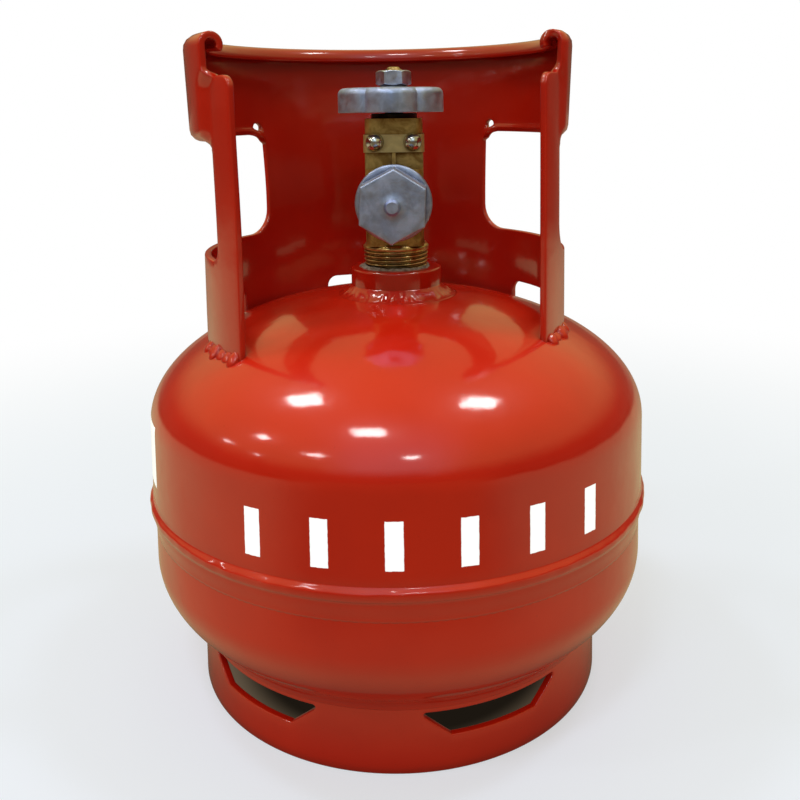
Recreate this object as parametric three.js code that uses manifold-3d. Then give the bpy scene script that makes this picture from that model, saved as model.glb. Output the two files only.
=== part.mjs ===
// A five-litre welded steel gas cylinder: two pressed shells, a foot ring, a C-shaped guard
// collar with hand holes, and a brass hand valve with a screwed cap on its outlet.
// Millimetres, +Z up. The origin is the centre of the foot ring's base. The outlet and the
// opening of the collar face -Y. An azimuth is 0 at -Y and grows towards +X.

import * as THREE from "three";
import { mergeVertices } from "three/addons/utils/BufferGeometryUtils.js";
import Module from "manifold-3d";

const wasm = await Module();
wasm.setup();

// ---------------------------------------------------------------- driving dimensions

const GAP = 0.3;                    // left between pieces that touch

const SHELL_WALL = 2;
const UPPER_RADIUS = 111;           // outside of the upper shell
const UPPER_EDGE = 84.5;            // its lower edge
const DOME_START = 118.5;           // height at which its wall turns into the dome
const DOME_RISE = 51.5;
const LOWER_RADIUS = 110;           // outside of the lower shell
const BOTTOM_START = 59;            // height at which its wall turns into the bottom
const BOTTOM_DROP = 52;
const JOGGLE_START = 75;            // the lower shell's edge is pressed inwards from here
const JOGGLE_END = 78;
const JOGGLE_TOP = 96;
const SEAM_RADIUS = 112.8;          // crest of the weld round the belly

const FOOT_RADIUS = 90.3;
const FOOT_SHEET = 3;
const FOOT_SLOT_BASE = 14.3;
const FOOT_SLOT_TOP = 24.2;
const FOOT_SLOT_COUNT = 5;
const FOOT_SLOT_PITCH = 65;         // degrees; the rest is left plain for the ring's butt weld
const FOOT_SLOT_FIRST = -38.8;
const FOOT_SLOT_HALF_TOP = 20.2;    // degrees to each side of the slot's middle
const FOOT_SLOT_HALF_BASE = 12;

const VALVE_X = 0.8;                // the boss and valve stand slightly off the shell's axis
const BOSS_RADIUS = 20.7;
const BOSS_TOP = 181;
const BOSS_SPIGOT = 17.4;           // the part of the boss inside the shell's hole
const BOSS_BOTTOM = 161;
const SHELL_HOLE = 18.9;

const COLLAR_X = -4.2;              // the collar is welded on slightly off the shell's axis
const COLLAR_Y = 0.9;
const COLLAR_TURN = 6.2;            // degrees about +Z
const COLLAR_RADIUS = 81.5;         // outside of the skirt
const COLLAR_SHEET = 3;
const COLLAR_TOP = 285;
const CURL_RADIUS = 5.4;            // outside of the rolled rim
const CURL_SWEEP = 198;             // degrees the sheet turns through
const BAND_BASE = 237;              // the band starts to stand out from the skirt here
const BAND_FULL = 245;
const BAND_FLARE = 3;               // how far it stands out there
const BAND_LEAN = 1.6;              // how much further it stands out at the rim
const BAND_OFFSET = 1.6;            // how far its middle lies towards -X of the skirt's
const BAND_LIP = 3.5;               // how far the lower edge over a hand hole rolls inwards
const OPENING_HALF = 50.2;          // half angle of the collar's gap below the rim
const RIM_END = 60.5;               // half angle of the gap at the rim
const STRIP_TOP = 267;
const HAND_HOLE_FROM = 62;
const HAND_HOLE_TO = 135;
const HAND_HOLE_BASE = 190.5;
const HAND_HOLE_TOP = 241;
const HAND_HOLE_TOP_DROP = 4.5;     // the upper edge slopes down at both ends
const FOOT_GAPS = [                 // [from, to, top] of the gaps between the collar's feet
  [81, 120.5, 164.5],
  [160.5, 199.5, 163],
  [239.5, 279, 164.5],
];

const TAIL_BOTTOM = 158;
const TAIL_BOTTOM_RADIUS = 12.5;
const TAIL_TOP = 189.6;
const TAIL_TOP_RADIUS = 14.9;
const THREAD_PITCH = 1.814;
const THREAD_DEPTH = 1.1;
const BODY_BOTTOM = 191.6;
const BODY_WIDTH = 26;
const BAND_BLOCK_BOTTOM = 233.7;
const BAND_BLOCK_TOP = 241.6;
const BAND_BLOCK_WIDTH = 27;
const BODY_TOP = 248.6;

const OUTLET_HEIGHT = 212.4;
const SPIGOT_RADIUS = 10.9;
const SPIGOT_END = 36;              // measured from the valve's axis, as all outlet lengths are
const OUTLET_BORE = 4;
const CAP_BACK = 24;
const CAP_FLANGE_FRONT = 27;
const CAP_FRONT = 43.2;
const CAP_FLANGE_RADIUS = 16.7;
const CAP_ACROSS_FLATS = 27.4;
const CAP_NUB_RADIUS = 3.3;
const CAP_NUB_LENGTH = 2.6;
const CAP_TWIST = 2.2;              // degrees a corner of the hexagon stands off the vertical

const INLET_BORE = 3.5;
const SEAT_HEIGHT = 204;
const CHAMBER_RADIUS = 8.2;
const CHAMBER_TOP = 228.5;
const GLAND_BORE = 9.9;
const PLUG_RADIUS = 7.9;
const PLUG_NOSE_RADIUS = 5.4;
const PLUG_SHOULDER = 214;
const PLUG_TOP = 222;
const SEAL_THICKNESS = 2;
const SOCKET_WIDTH = 5.6;
const SOCKET_BASE = 209;
const TANG_WIDTH = 5;
const TANG_BASE = 213;
const SPINDLE_RADIUS = 4.2;
const SPINDLE_FLANGE = 9.4;
const SPINDLE_TOP = 271.7;
const PACKING_TOP = 237;
const GLAND_HEAD_RADIUS = 10.4;
const GLAND_TOP = 250.9;

const WHEEL_BOTTOM = 251.2;
const WHEEL_TOP = 262.2;
const WHEEL_RADIUS = 25;
const WHEEL_OFFSET = -1.5;          // the casting's middle lies off its bore, along X
const WHEEL_LOBES = 6;
const WHEEL_LOBE_DEPTH = 2;
const WHEEL_EDGE = 3;               // rounding of the wheel's upper edge
const NUT_BOTTOM = 263.4;
const NUT_TOP = 270;
const NUT_ACROSS_FLATS = 14;

const BALL_RADIUS = 3.9;
const BALL_SPREAD = 8.4;
const BALL_HEIGHT = 238.2;

const SHELL_SEGMENTS = 48;
const COLLAR_SEGMENTS = 60;
const SMALL_SEGMENTS = 24;

// ---------------------------------------------------------------- materials

function finish(color, roughness, metalness) {
  return new THREE.MeshStandardMaterial({ color, roughness, metalness, flatShading: true });
}

const RED_PAINT = () => finish(0xcd371e, 0.3, 0);
const BRASS = () => finish(0x967332, 0.45, 1);
const CAST_ALUMINIUM = () => finish(0x868b92, 0.5, 0.9);
const STEEL = () => finish(0x9a9c9f, 0.3, 1);
const SEAL = () => finish(0x2b2b2b, 0.8, 0);
const PLASTER = () => finish(0x8f8c84, 0.9, 0);

// ---------------------------------------------------------------- geometry helpers

function radians(degrees) {
  return degrees * Math.PI / 180;
}

function smoothstep(from, to, value) {
  return THREE.MathUtils.smoothstep(value, from, to);
}

// Points on an ellipse, anticlockwise for a rising angle in degrees
function arc(centreX, centreY, radiusX, radiusY, from, to, steps) {
  return Array.from({ length: steps + 1 }, (_, step) => {
    const angle = radians(from + (to - from) * step / steps);
    return [centreX + radiusX * Math.cos(angle), centreY + radiusY * Math.sin(angle)];
  });
}

// A polygon whose corners [x, y, radius] are rounded
function roundedPolygon(corners, steps = 4) {
  return corners.flatMap(([x, y, radius = 0], i) => {
    if (radius === 0) return [[x, y]];
    const corner = new THREE.Vector2(x, y);
    const before = new THREE.Vector2(...corners.at(i - 1).slice(0, 2)).sub(corner).normalize();
    const after = new THREE.Vector2(...corners[(i + 1) % corners.length].slice(0, 2)).sub(corner).normalize();
    const halfAngle = Math.acos(before.dot(after)) / 2;
    const start = corner.clone().addScaledVector(before, radius / Math.tan(halfAngle));
    const bisector = before.clone().add(after).normalize();
    const centre = corner.clone().addScaledVector(bisector, radius / Math.sin(halfAngle));
    const turn = (Math.PI - 2 * halfAngle) * Math.sign(before.cross(after)) * -1;
    return Array.from({ length: steps + 1 }, (_, step) =>
      start.clone().rotateAround(centre, turn * step / steps).toArray());
  });
}

// A closed mesh as a solid that can be cut and joined
function solid(geometry) {
  geometry.deleteAttribute("normal");
  geometry.deleteAttribute("uv");
  const merged = mergeVertices(geometry, 1e-4);
  const corners = merged.index.array;
  const triangles = [];
  for (let i = 0; i < corners.length; i += 3) {
    const [a, b, c] = corners.slice(i, i + 3);
    // Triangles that fold onto themselves where a profile meets its axis are dropped
    if (a !== b && b !== c && c !== a) triangles.push(a, b, c);
  }
  return new wasm.Manifold(new wasm.Mesh({
    numProp: 3,
    vertProperties: merged.attributes.position.array,
    triVerts: new Uint32Array(triangles),
  }));
}

function toGeometry(body) {
  const mesh = body.getMesh();
  const geometry = new THREE.BufferGeometry();
  geometry.setAttribute("position", new THREE.BufferAttribute(mesh.vertProperties, 3));
  geometry.setIndex(new THREE.BufferAttribute(mesh.triVerts, 1));
  geometry.computeVertexNormals();
  return geometry;
}

// Turns a profile of [radius, height] about the Z axis. The outside of the profile rises.
function turnedGeometry(profile, segments) {
  const points = profile.map(([radius, height]) => new THREE.Vector2(radius, height));
  return new THREE.LatheGeometry(points, segments).rotateX(Math.PI / 2);
}

function turned(profile, segments = SMALL_SEGMENTS) {
  return solid(turnedGeometry(profile, segments));
}

function ring(profile, segments = SMALL_SEGMENTS) {
  return turned([...profile, profile[0]], segments);
}

function tube(inner, outer, bottom, top, segments = SMALL_SEGMENTS) {
  return ring([[inner, bottom], [outer, bottom], [outer, top], [inner, top]], segments);
}

function rod(radius, bottom, top, segments = SMALL_SEGMENTS) {
  return turned([[0, bottom], [radius, bottom], [radius, top], [0, top]], segments);
}

// An outline of [x, y] points raised from one height to another
function prism(outline, bottom, top) {
  const shape = new THREE.Shape(outline.map(([x, y]) => new THREE.Vector2(x, y)));
  const geometry = new THREE.ExtrudeGeometry(shape, { depth: top - bottom, bevelEnabled: false });
  return solid(geometry.translate(0, 0, bottom));
}

function box(width, depth, bottom, top, x = 0, y = 0) {
  return solid(new THREE.BoxGeometry(width, depth, top - bottom).translate(x, y, (bottom + top) / 2));
}

function roundedSquare(width, radius) {
  const half = width / 2;
  const corners = [[-half, -half], [half, -half], [half, half], [-half, half]];
  return roundedPolygon(corners.map(([x, y]) => [x, y, radius]), 3);
}

function hexagon(acrossFlats, firstCorner) {
  const corner = acrossFlats / Math.sqrt(3);
  return arc(0, 0, corner, corner, firstCorner, firstCorner + 300, 5);
}

// A cutter that runs radially through a wall. Its outline is in [azimuth in degrees, height]
function radialCutter(outline, innerRadius, outerRadius) {
  const flat = outline.map(([azimuth, height]) => new THREE.Vector2(azimuth, height));
  const anticlockwise = THREE.ShapeUtils.isClockWise(flat) ? flat.reverse() : flat;
  const place = (point, radius) => {
    const angle = radians(point.x);
    return [radius * Math.sin(angle), -radius * Math.cos(angle), point.y];
  };
  const count = anticlockwise.length;
  const placed = (radius) => anticlockwise.flatMap((point) => place(point, radius));
  const positions = [...placed(innerRadius), ...placed(outerRadius)];
  const triangles = THREE.ShapeUtils.triangulateShape(anticlockwise, []).flatMap(([a, b, c]) =>
    [count + a, count + b, count + c, a, c, b]);
  for (let i = 0; i < count; i++) {
    const next = (i + 1) % count;
    triangles.push(i, next, count + next, i, count + next, count + i);
  }
  const geometry = new THREE.BufferGeometry();
  geometry.setAttribute("position", new THREE.Float32BufferAttribute(positions, 3));
  geometry.setIndex(triangles);
  return solid(geometry);
}

// ---------------------------------------------------------------- assembly helpers

const cylinder = new THREE.Group();

function addPiece(parent, name, body, material) {
  const mesh = new THREE.Mesh(toGeometry(body), material);
  mesh.name = name;
  parent.add(mesh);
}

function addGroup(parent, x, y, z) {
  const group = new THREE.Group();
  group.position.set(x, y, z);
  parent.add(group);
  return group;
}

// ---------------------------------------------------------------- pressed shells

// Height of a dome or bottom's surface at a distance from the axis
function domeHeight(distance, grow = 0) {
  const radius = UPPER_RADIUS + grow;
  return DOME_START + (DOME_RISE + grow) * Math.sqrt(1 - (distance / radius) ** 2);
}

function bottomHeight(distance) {
  return BOTTOM_START - BOTTOM_DROP * Math.sqrt(1 - (distance / LOWER_RADIUS) ** 2);
}

// The dome's outside, from the wall up to the edge of the hole for the boss
function domeArc(grow) {
  const end = Math.acos(SHELL_HOLE / UPPER_RADIUS) * 180 / Math.PI;
  return arc(0, DOME_START, UPPER_RADIUS + grow, DOME_RISE + grow, 0, end, 8);
}

function upperShell() {
  const inner = UPPER_RADIUS - SHELL_WALL;
  const innerEnd = Math.acos(SHELL_HOLE / inner) * 180 / Math.PI;
  return ring([
    [inner, UPPER_EDGE],
    [UPPER_RADIUS, UPPER_EDGE],
    ...domeArc(0),
    ...arc(0, DOME_START, inner, DOME_RISE - SHELL_WALL, innerEnd, 0, 6),
  ], SHELL_SEGMENTS);
}

// A block the size of the upper shell and its dome, grown by a little, to cut other pieces by
function domeBlock(grow) {
  return turned([
    [0, UPPER_EDGE],
    [UPPER_RADIUS + grow, UPPER_EDGE],
    ...domeArc(grow),
    [0, DOME_START + DOME_RISE + grow],
  ], SHELL_SEGMENTS);
}

function lowerShell() {
  const inner = LOWER_RADIUS - SHELL_WALL;
  const joggleOutside = UPPER_RADIUS - SHELL_WALL - GAP;
  const joggleInside = joggleOutside - SHELL_WALL;
  return turned([
    ...arc(0, BOTTOM_START, LOWER_RADIUS, BOTTOM_DROP, -90, 0, 8),
    [LOWER_RADIUS, JOGGLE_START],
    [joggleOutside, JOGGLE_END],
    [joggleOutside, JOGGLE_TOP],
    [joggleInside, JOGGLE_TOP],
    [joggleInside, JOGGLE_END],
    [inner, JOGGLE_START],
    ...arc(0, BOTTOM_START, inner, BOTTOM_DROP - SHELL_WALL, 0, -90, 6),
  ], SHELL_SEGMENTS);
}

// The weld fills the step below the upper shell's edge and laps onto its outside
function seamWeld() {
  const root = UPPER_RADIUS - SHELL_WALL;
  const lapInside = UPPER_RADIUS + GAP;
  return ring([
    [root, JOGGLE_END + 1],
    [UPPER_RADIUS + 0.6, JOGGLE_END + 2.2],
    [SEAM_RADIUS, UPPER_EDGE - 1.6],
    [SEAM_RADIUS, UPPER_EDGE - 0.2],
    [UPPER_RADIUS + 1, UPPER_EDGE + 2],
    [lapInside, UPPER_EDGE + 2.4],
    [lapInside, UPPER_EDGE - GAP],
    [root, UPPER_EDGE - GAP],
  ], SHELL_SEGMENTS);
}

addPiece(cylinder, "upper_shell", upperShell(), RED_PAINT());
addPiece(cylinder, "lower_shell", lowerShell(), RED_PAINT());
addPiece(cylinder, "seam_weld", seamWeld(), RED_PAINT());

// ---------------------------------------------------------------- foot ring

function footRing() {
  const inner = FOOT_RADIUS - FOOT_SHEET;
  let body = ring([
    [inner, 0],
    [FOOT_RADIUS, 0],
    [FOOT_RADIUS, bottomHeight(FOOT_RADIUS) - 2 * GAP],
    [inner, bottomHeight(inner) - 2 * GAP],
  ], SHELL_SEGMENTS);
  for (let i = 0; i < FOOT_SLOT_COUNT; i++) {
    const middle = FOOT_SLOT_FIRST + i * FOOT_SLOT_PITCH;
    const outline = [
      [middle - FOOT_SLOT_HALF_BASE, FOOT_SLOT_BASE],
      [middle + FOOT_SLOT_HALF_BASE, FOOT_SLOT_BASE],
      [middle + FOOT_SLOT_HALF_TOP, FOOT_SLOT_TOP],
      [middle - FOOT_SLOT_HALF_TOP, FOOT_SLOT_TOP],
    ];
    body = body.subtract(radialCutter(outline, FOOT_RADIUS - 20, FOOT_RADIUS + 20));
  }
  return body;
}

// A fillet inside the ring, where it meets the lower shell
function footWeld() {
  const outer = FOOT_RADIUS - FOOT_SHEET - GAP;
  const inner = outer - 4;
  return ring([
    [outer, bottomHeight(outer) - 5],
    [outer, bottomHeight(outer) - 2 * GAP],
    [inner, bottomHeight(inner) - 2 * GAP],
  ], SHELL_SEGMENTS);
}

addPiece(cylinder, "foot_ring", footRing(), RED_PAINT());
addPiece(cylinder, "foot_ring_weld", footWeld(), RED_PAINT());

// ---------------------------------------------------------------- neck

function tailRadius(height) {
  const along = (height - TAIL_BOTTOM) / (TAIL_TOP - TAIL_BOTTOM);
  return TAIL_BOTTOM_RADIUS + along * (TAIL_TOP_RADIUS - TAIL_BOTTOM_RADIUS);
}

function neckBoss() {
  const seat = DOME_START + DOME_RISE + GAP;
  return ring([
    [tailRadius(BOSS_BOTTOM) + GAP, BOSS_BOTTOM],
    [BOSS_SPIGOT, BOSS_BOTTOM],
    [BOSS_SPIGOT, seat],
    [BOSS_RADIUS, seat],
    [BOSS_RADIUS, BOSS_TOP - 1],
    [BOSS_RADIUS - 1, BOSS_TOP],
    [tailRadius(BOSS_TOP) + GAP, BOSS_TOP],
  ]);
}

// A fillet of weld round the foot of the boss
function neckWeld() {
  const inner = BOSS_RADIUS + GAP;
  const toe = BOSS_RADIUS + 5.5;
  const profile = [
    [inner, domeHeight(inner) - 1],
    [toe, domeHeight(toe) - 1],
    [toe, domeHeight(toe) + 0.8],
    [inner + 2.2, domeHeight(inner) + 2],
    [inner, domeHeight(inner) + 3],
  ];
  return ring(profile).subtract(domeBlock(GAP).translate([-VALVE_X, 0, 0]));
}

// Sealant squeezed out of the threaded joint
function threadSealant() {
  const inner = tailRadius(BOSS_TOP) + 2 * GAP;
  return ring([
    [inner, BOSS_TOP + GAP],
    [inner + 3, BOSS_TOP + GAP],
    [inner + 2, BOSS_TOP + 1.2],
    [inner, BOSS_TOP + 1.8],
  ]);
}

const valve = addGroup(cylinder, VALVE_X, 0, 0);
addPiece(valve, "neck_boss", neckBoss(), RED_PAINT());
addPiece(valve, "neck_weld", neckWeld(), RED_PAINT());
addPiece(valve, "thread_sealant", threadSealant(), PLASTER());

// ---------------------------------------------------------------- guard collar

// The sheet goes up the skirt, over the rim and back down the rolled edge. The profile has
// the skirt's radius all the way up; bandShift moves it outwards.
function collarProfile() {
  const inner = COLLAR_RADIUS - COLLAR_SHEET;
  const curlX = COLLAR_RADIUS - CURL_RADIUS;
  const curlZ = COLLAR_TOP - CURL_RADIUS;
  const curlInside = CURL_RADIUS - COLLAR_SHEET;
  const base = domeHeight(COLLAR_RADIUS) - 12;
  const levels = [234, 237, 239, 241, 243, BAND_FULL, 255];
  return [
    [inner, base],
    [COLLAR_RADIUS, base],
    ...levels.map((height) => [COLLAR_RADIUS, height]),
    ...arc(curlX, curlZ, CURL_RADIUS, CURL_RADIUS, 0, CURL_SWEEP, 11),
    ...arc(curlX, curlZ, curlInside, curlInside, CURL_SWEEP, 0, 5),
    ...levels.toReversed().map((height) => [inner, height]),
  ];
}

// How far the sheet stands out from the skirt at an azimuth (-180 to 180) and a height
function bandShift(azimuth, height) {
  const round = Math.abs(azimuth);
  const strip = 5;                  // degrees over which the strip beside the opening bends out
  const holeEnd = 10;
  const besideStrip = smoothstep(RIM_END - 1, RIM_END - 1 + strip, round);
  const overHole = besideStrip * (1 - smoothstep(HAND_HOLE_TO - holeEnd / 2, HAND_HOLE_TO + holeEnd, round));
  const rise = smoothstep(BAND_BASE, BAND_FULL, height);
  const lean = BAND_LEAN * Math.max(height - BAND_FULL, 0) / (COLLAR_TOP - BAND_FULL);
  const offset = BAND_OFFSET * Math.sin(radians(azimuth));
  const belowFold = 1 - smoothstep(BAND_FULL - 4, BAND_FULL, height);
  const lip = BAND_LIP * overHole * belowFold * smoothstep(BAND_BASE - 7, BAND_BASE + 1, height);
  return besideStrip * rise * (BAND_FLARE + lean - offset) - lip;
}

function bendBand(geometry) {
  const position = geometry.attributes.position;
  const point = new THREE.Vector3();
  for (let i = 0; i < position.count; i++) {
    point.fromBufferAttribute(position, i);
    const radius = Math.hypot(point.x, point.y);
    const azimuth = Math.atan2(point.x, -point.y) * 180 / Math.PI;
    const scale = (radius + bandShift(azimuth, point.z)) / radius;
    position.setXYZ(i, point.x * scale, point.y * scale, point.z);
  }
  return geometry;
}

// Outlines on the collar are drawn with lengths in mm along the skirt, then turned to degrees
function collarCutter(corners) {
  const degreesPerMm = 180 / (Math.PI * COLLAR_RADIUS);
  const inMm = corners.map(([azimuth, height, radius]) => [azimuth / degreesPerMm, height, radius]);
  const outline = roundedPolygon(inMm).map(([along, height]) => [along * degreesPerMm, height]);
  return radialCutter(outline, COLLAR_RADIUS * 0.6, COLLAR_RADIUS * 2.5);
}

function collarOpening() {
  const base = 100;
  const top = COLLAR_TOP + 10;
  const outerCorner = 5;
  const innerCorner = 4;
  return collarCutter([
    [-OPENING_HALF, base, 0],
    [OPENING_HALF, base, 0],
    [OPENING_HALF, STRIP_TOP, outerCorner],
    [RIM_END, STRIP_TOP, innerCorner],
    [RIM_END, top, 0],
    [-RIM_END, top, 0],
    [-RIM_END, STRIP_TOP, innerCorner],
    [-OPENING_HALF, STRIP_TOP, outerCorner],
  ]);
}

function handHole(side) {
  const frontSlope = 16;            // degrees along the edge
  const backSlope = 6;
  const frontCorner = side > 0 ? 13 : 6;
  return collarCutter([
    [side * HAND_HOLE_FROM, HAND_HOLE_BASE, frontCorner],
    [side * HAND_HOLE_TO, HAND_HOLE_BASE, 12],
    [side * HAND_HOLE_TO, HAND_HOLE_TOP - HAND_HOLE_TOP_DROP, 2],
    [side * (HAND_HOLE_TO - backSlope), HAND_HOLE_TOP, 2],
    [side * (HAND_HOLE_FROM + frontSlope), HAND_HOLE_TOP, 6],
    [side * HAND_HOLE_FROM, HAND_HOLE_TOP - HAND_HOLE_TOP_DROP, 2],
  ]);
}

function guardCollar() {
  let body = solid(bendBand(turnedGeometry([...collarProfile(), collarProfile()[0]], COLLAR_SEGMENTS)));
  body = body.subtract(collarOpening()).subtract(handHole(-1)).subtract(handHole(1));
  for (const [from, to, top] of FOOT_GAPS) {
    body = body.subtract(collarCutter([[from, 100, 0], [to, 100, 0], [to, top, 5], [from, top, 5]]));
  }
  return body.subtract(domeBlock(GAP).translate([-COLLAR_X, -COLLAR_Y, 0]).rotate([0, 0, -COLLAR_TURN]));
}

const guard = addGroup(cylinder, COLLAR_X, COLLAR_Y, 0);
guard.rotation.z = radians(COLLAR_TURN);
addPiece(guard, "guard_collar", guardCollar(), RED_PAINT());

// A bead of weld on the dome, along the outside of one of the collar's feet
function collarWeld(from, to) {
  const steps = 6;
  const inner = COLLAR_RADIUS + GAP;
  const section = [[inner, 0.5], [inner + 4.2, -2.6], [inner + 3.4, 0.9], [inner, 3.2]];
  const positions = [];
  for (let step = 0; step <= steps; step++) {
    const angle = radians(from + (to - from) * step / steps);
    const ends = step === 0 || step === steps ? 0.4 : 1;
    const turnedAngle = angle + radians(COLLAR_TURN);
    const x = COLLAR_X + COLLAR_RADIUS * Math.sin(turnedAngle);
    const y = COLLAR_Y - COLLAR_RADIUS * Math.cos(turnedAngle);
    const foot = domeHeight(Math.hypot(x, y), GAP);
    for (const [radius, rise] of section) {
      const drawn = inner + (radius - inner) * ends;
      positions.push(drawn * Math.sin(angle), -drawn * Math.cos(angle), foot + rise * ends);
    }
  }
  const count = section.length;
  const triangles = [];
  for (let step = 0; step < steps; step++) {
    for (let i = 0; i < count; i++) {
      const next = (i + 1) % count;
      const [a, b] = [step * count + i, step * count + next];
      triangles.push(a, a + count, b + count, a, b + count, b);
    }
  }
  for (let i = 1; i < count - 1; i++) {
    const last = steps * count;
    triangles.push(0, i, i + 1, last, last + i + 1, last + i);
  }
  const geometry = new THREE.BufferGeometry();
  geometry.setAttribute("position", new THREE.Float32BufferAttribute(positions, 3));
  geometry.setIndex(triangles);
  const clearDome = domeBlock(GAP).translate([-COLLAR_X, -COLLAR_Y, 0]).rotate([0, 0, -COLLAR_TURN]);
  return solid(geometry).subtract(clearDome);
}

addPiece(guard, "collar_weld_front_left", collarWeld(-74, -52), RED_PAINT());
addPiece(guard, "collar_weld_front_right", collarWeld(52, 74), RED_PAINT());
addPiece(guard, "collar_weld_back_left", collarWeld(-150, -128), RED_PAINT());
addPiece(guard, "collar_weld_back_right", collarWeld(128, 150), RED_PAINT());

// ---------------------------------------------------------------- valve body

// The tail's taper thread shows as ridges above the boss
function tailProfile() {
  const profile = [[0, TAIL_BOTTOM], [TAIL_BOTTOM_RADIUS, TAIL_BOTTOM]];
  const crests = 4;
  const first = TAIL_TOP - crests * THREAD_PITCH;
  for (let i = 0; i < crests; i++) {
    const root = first + i * THREAD_PITCH;
    const crest = root + THREAD_PITCH / 2;
    profile.push([tailRadius(root) - THREAD_DEPTH, root], [tailRadius(crest), crest]);
  }
  profile.push(
    [TAIL_TOP_RADIUS - THREAD_DEPTH, TAIL_TOP],
    [TAIL_TOP_RADIUS, TAIL_TOP + 0.8],
    [TAIL_TOP_RADIUS - 0.6, BODY_BOTTOM + 0.2],
    [0, BODY_BOTTOM + 0.2],
  );
  return profile;
}

// Turns a piece that points up the Z axis so that it points out of the outlet
function towardsOutlet(body) {
  return body.rotate([90, 0, 0]).translate([0, 0, OUTLET_HEIGHT]);
}

// Forging pockets in the front face, to each side of a middle rib
function frontPockets() {
  const pocketDepth = 1.2;
  const ribWidth = 1.6;
  const width = (BODY_WIDTH - ribWidth) / 2;
  const front = -BODY_WIDTH / 2;
  const lower = BAND_BLOCK_BOTTOM - 16;
  return [-1, 1].map((side) =>
    box(width, 2 * pocketDepth, lower, BAND_BLOCK_BOTTOM, side * (width + ribWidth) / 2, front));
}

function locatedBall(radius) {
  const front = -BAND_BLOCK_WIDTH / 2 - 0.4;
  return (side) => {
    const sphere = new THREE.SphereGeometry(radius, 16, 10);
    return solid(sphere.translate(side * BALL_SPREAD, front, BALL_HEIGHT));
  };
}

function valveBody() {
  const rootCollar = 3;
  let body = turned(tailProfile())
    .add(prism(roundedSquare(BODY_WIDTH, 3), BODY_BOTTOM, BAND_BLOCK_BOTTOM + 0.1))
    .add(prism(roundedSquare(BAND_BLOCK_WIDTH, 2), BAND_BLOCK_BOTTOM, BAND_BLOCK_TOP))
    .add(prism(roundedSquare(BODY_WIDTH - 0.4, 3), BAND_BLOCK_TOP - 0.1, BODY_TOP));
  for (const pocket of frontPockets()) {
    body = body.subtract(pocket);
  }
  body = body
    .add(towardsOutlet(rod(SPIGOT_RADIUS + 1.4, 8, BODY_WIDTH / 2 + rootCollar)))
    .add(towardsOutlet(rod(SPIGOT_RADIUS, 8, SPIGOT_END)))
    .subtract(rod(INLET_BORE, TAIL_BOTTOM - 5, SEAT_HEIGHT + 1))
    .subtract(rod(CHAMBER_RADIUS, SEAT_HEIGHT, CHAMBER_TOP + 1))
    .subtract(rod(GLAND_BORE, CHAMBER_TOP, BODY_TOP + 5))
    .subtract(towardsOutlet(rod(OUTLET_BORE, 2, SPIGOT_END + 5)));
  for (const side of [-1, 1]) {
    body = body.subtract(locatedBall(BALL_RADIUS + GAP)(side));
  }
  return body;
}

addPiece(valve, "valve_body", valveBody(), BRASS());
addPiece(valve, "locking_ball_left", locatedBall(BALL_RADIUS)(-1), STEEL());
addPiece(valve, "locking_ball_right", locatedBall(BALL_RADIUS)(1), STEEL());

// ---------------------------------------------------------------- shut-off inside the valve

// The plug screws in the chamber and takes its turning from the spindle's square tang
function valvePlug() {
  const noseBase = SEAT_HEIGHT + GAP + SEAL_THICKNESS + GAP;
  return turned([
    [0, noseBase],
    [PLUG_NOSE_RADIUS, noseBase],
    [PLUG_NOSE_RADIUS, PLUG_SHOULDER],
    [PLUG_RADIUS, PLUG_SHOULDER],
    [PLUG_RADIUS, PLUG_TOP],
    [0, PLUG_TOP],
  ]).subtract(box(SOCKET_WIDTH, SOCKET_WIDTH, SOCKET_BASE, PLUG_TOP + 5));
}

function plugSeal() {
  return rod(PLUG_NOSE_RADIUS - 0.4, SEAT_HEIGHT + GAP, SEAT_HEIGHT + GAP + SEAL_THICKNESS);
}

function spindle() {
  const flangeBase = CHAMBER_TOP + GAP;
  const flangeTop = flangeBase + 2.2;
  const threadStart = WHEEL_TOP + GAP;
  return turned([
    [0, flangeBase],
    [SPINDLE_FLANGE, flangeBase],
    [SPINDLE_FLANGE, flangeTop],
    [SPINDLE_RADIUS, flangeTop],
    [SPINDLE_RADIUS, threadStart],
    [SPINDLE_RADIUS - 0.3, threadStart],
    [SPINDLE_RADIUS - 0.3, SPINDLE_TOP - 0.8],
    [SPINDLE_RADIUS - 1, SPINDLE_TOP],
    [0, SPINDLE_TOP],
  ]).add(box(TANG_WIDTH, TANG_WIDTH, TANG_BASE, flangeBase + 0.5));
}

function glandPacking() {
  const base = CHAMBER_TOP + GAP + 2.2 + GAP;
  return tube(SPINDLE_RADIUS + GAP, GLAND_BORE - GAP, base, PACKING_TOP);
}

function glandNut() {
  const bore = SPINDLE_RADIUS + GAP;
  const thread = GLAND_BORE - GAP;
  return ring([
    [bore, PACKING_TOP + GAP],
    [thread, PACKING_TOP + GAP],
    [thread, BODY_TOP + GAP],
    [GLAND_HEAD_RADIUS, BODY_TOP + GAP],
    [GLAND_HEAD_RADIUS, GLAND_TOP],
    [bore, GLAND_TOP],
  ]);
}

addPiece(valve, "valve_plug", valvePlug(), BRASS());
addPiece(valve, "plug_seal", plugSeal(), SEAL());
addPiece(valve, "spindle", spindle(), BRASS());
addPiece(valve, "gland_packing", glandPacking(), SEAL());
addPiece(valve, "gland_nut", glandNut(), STEEL());

// ---------------------------------------------------------------- handwheel

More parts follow.
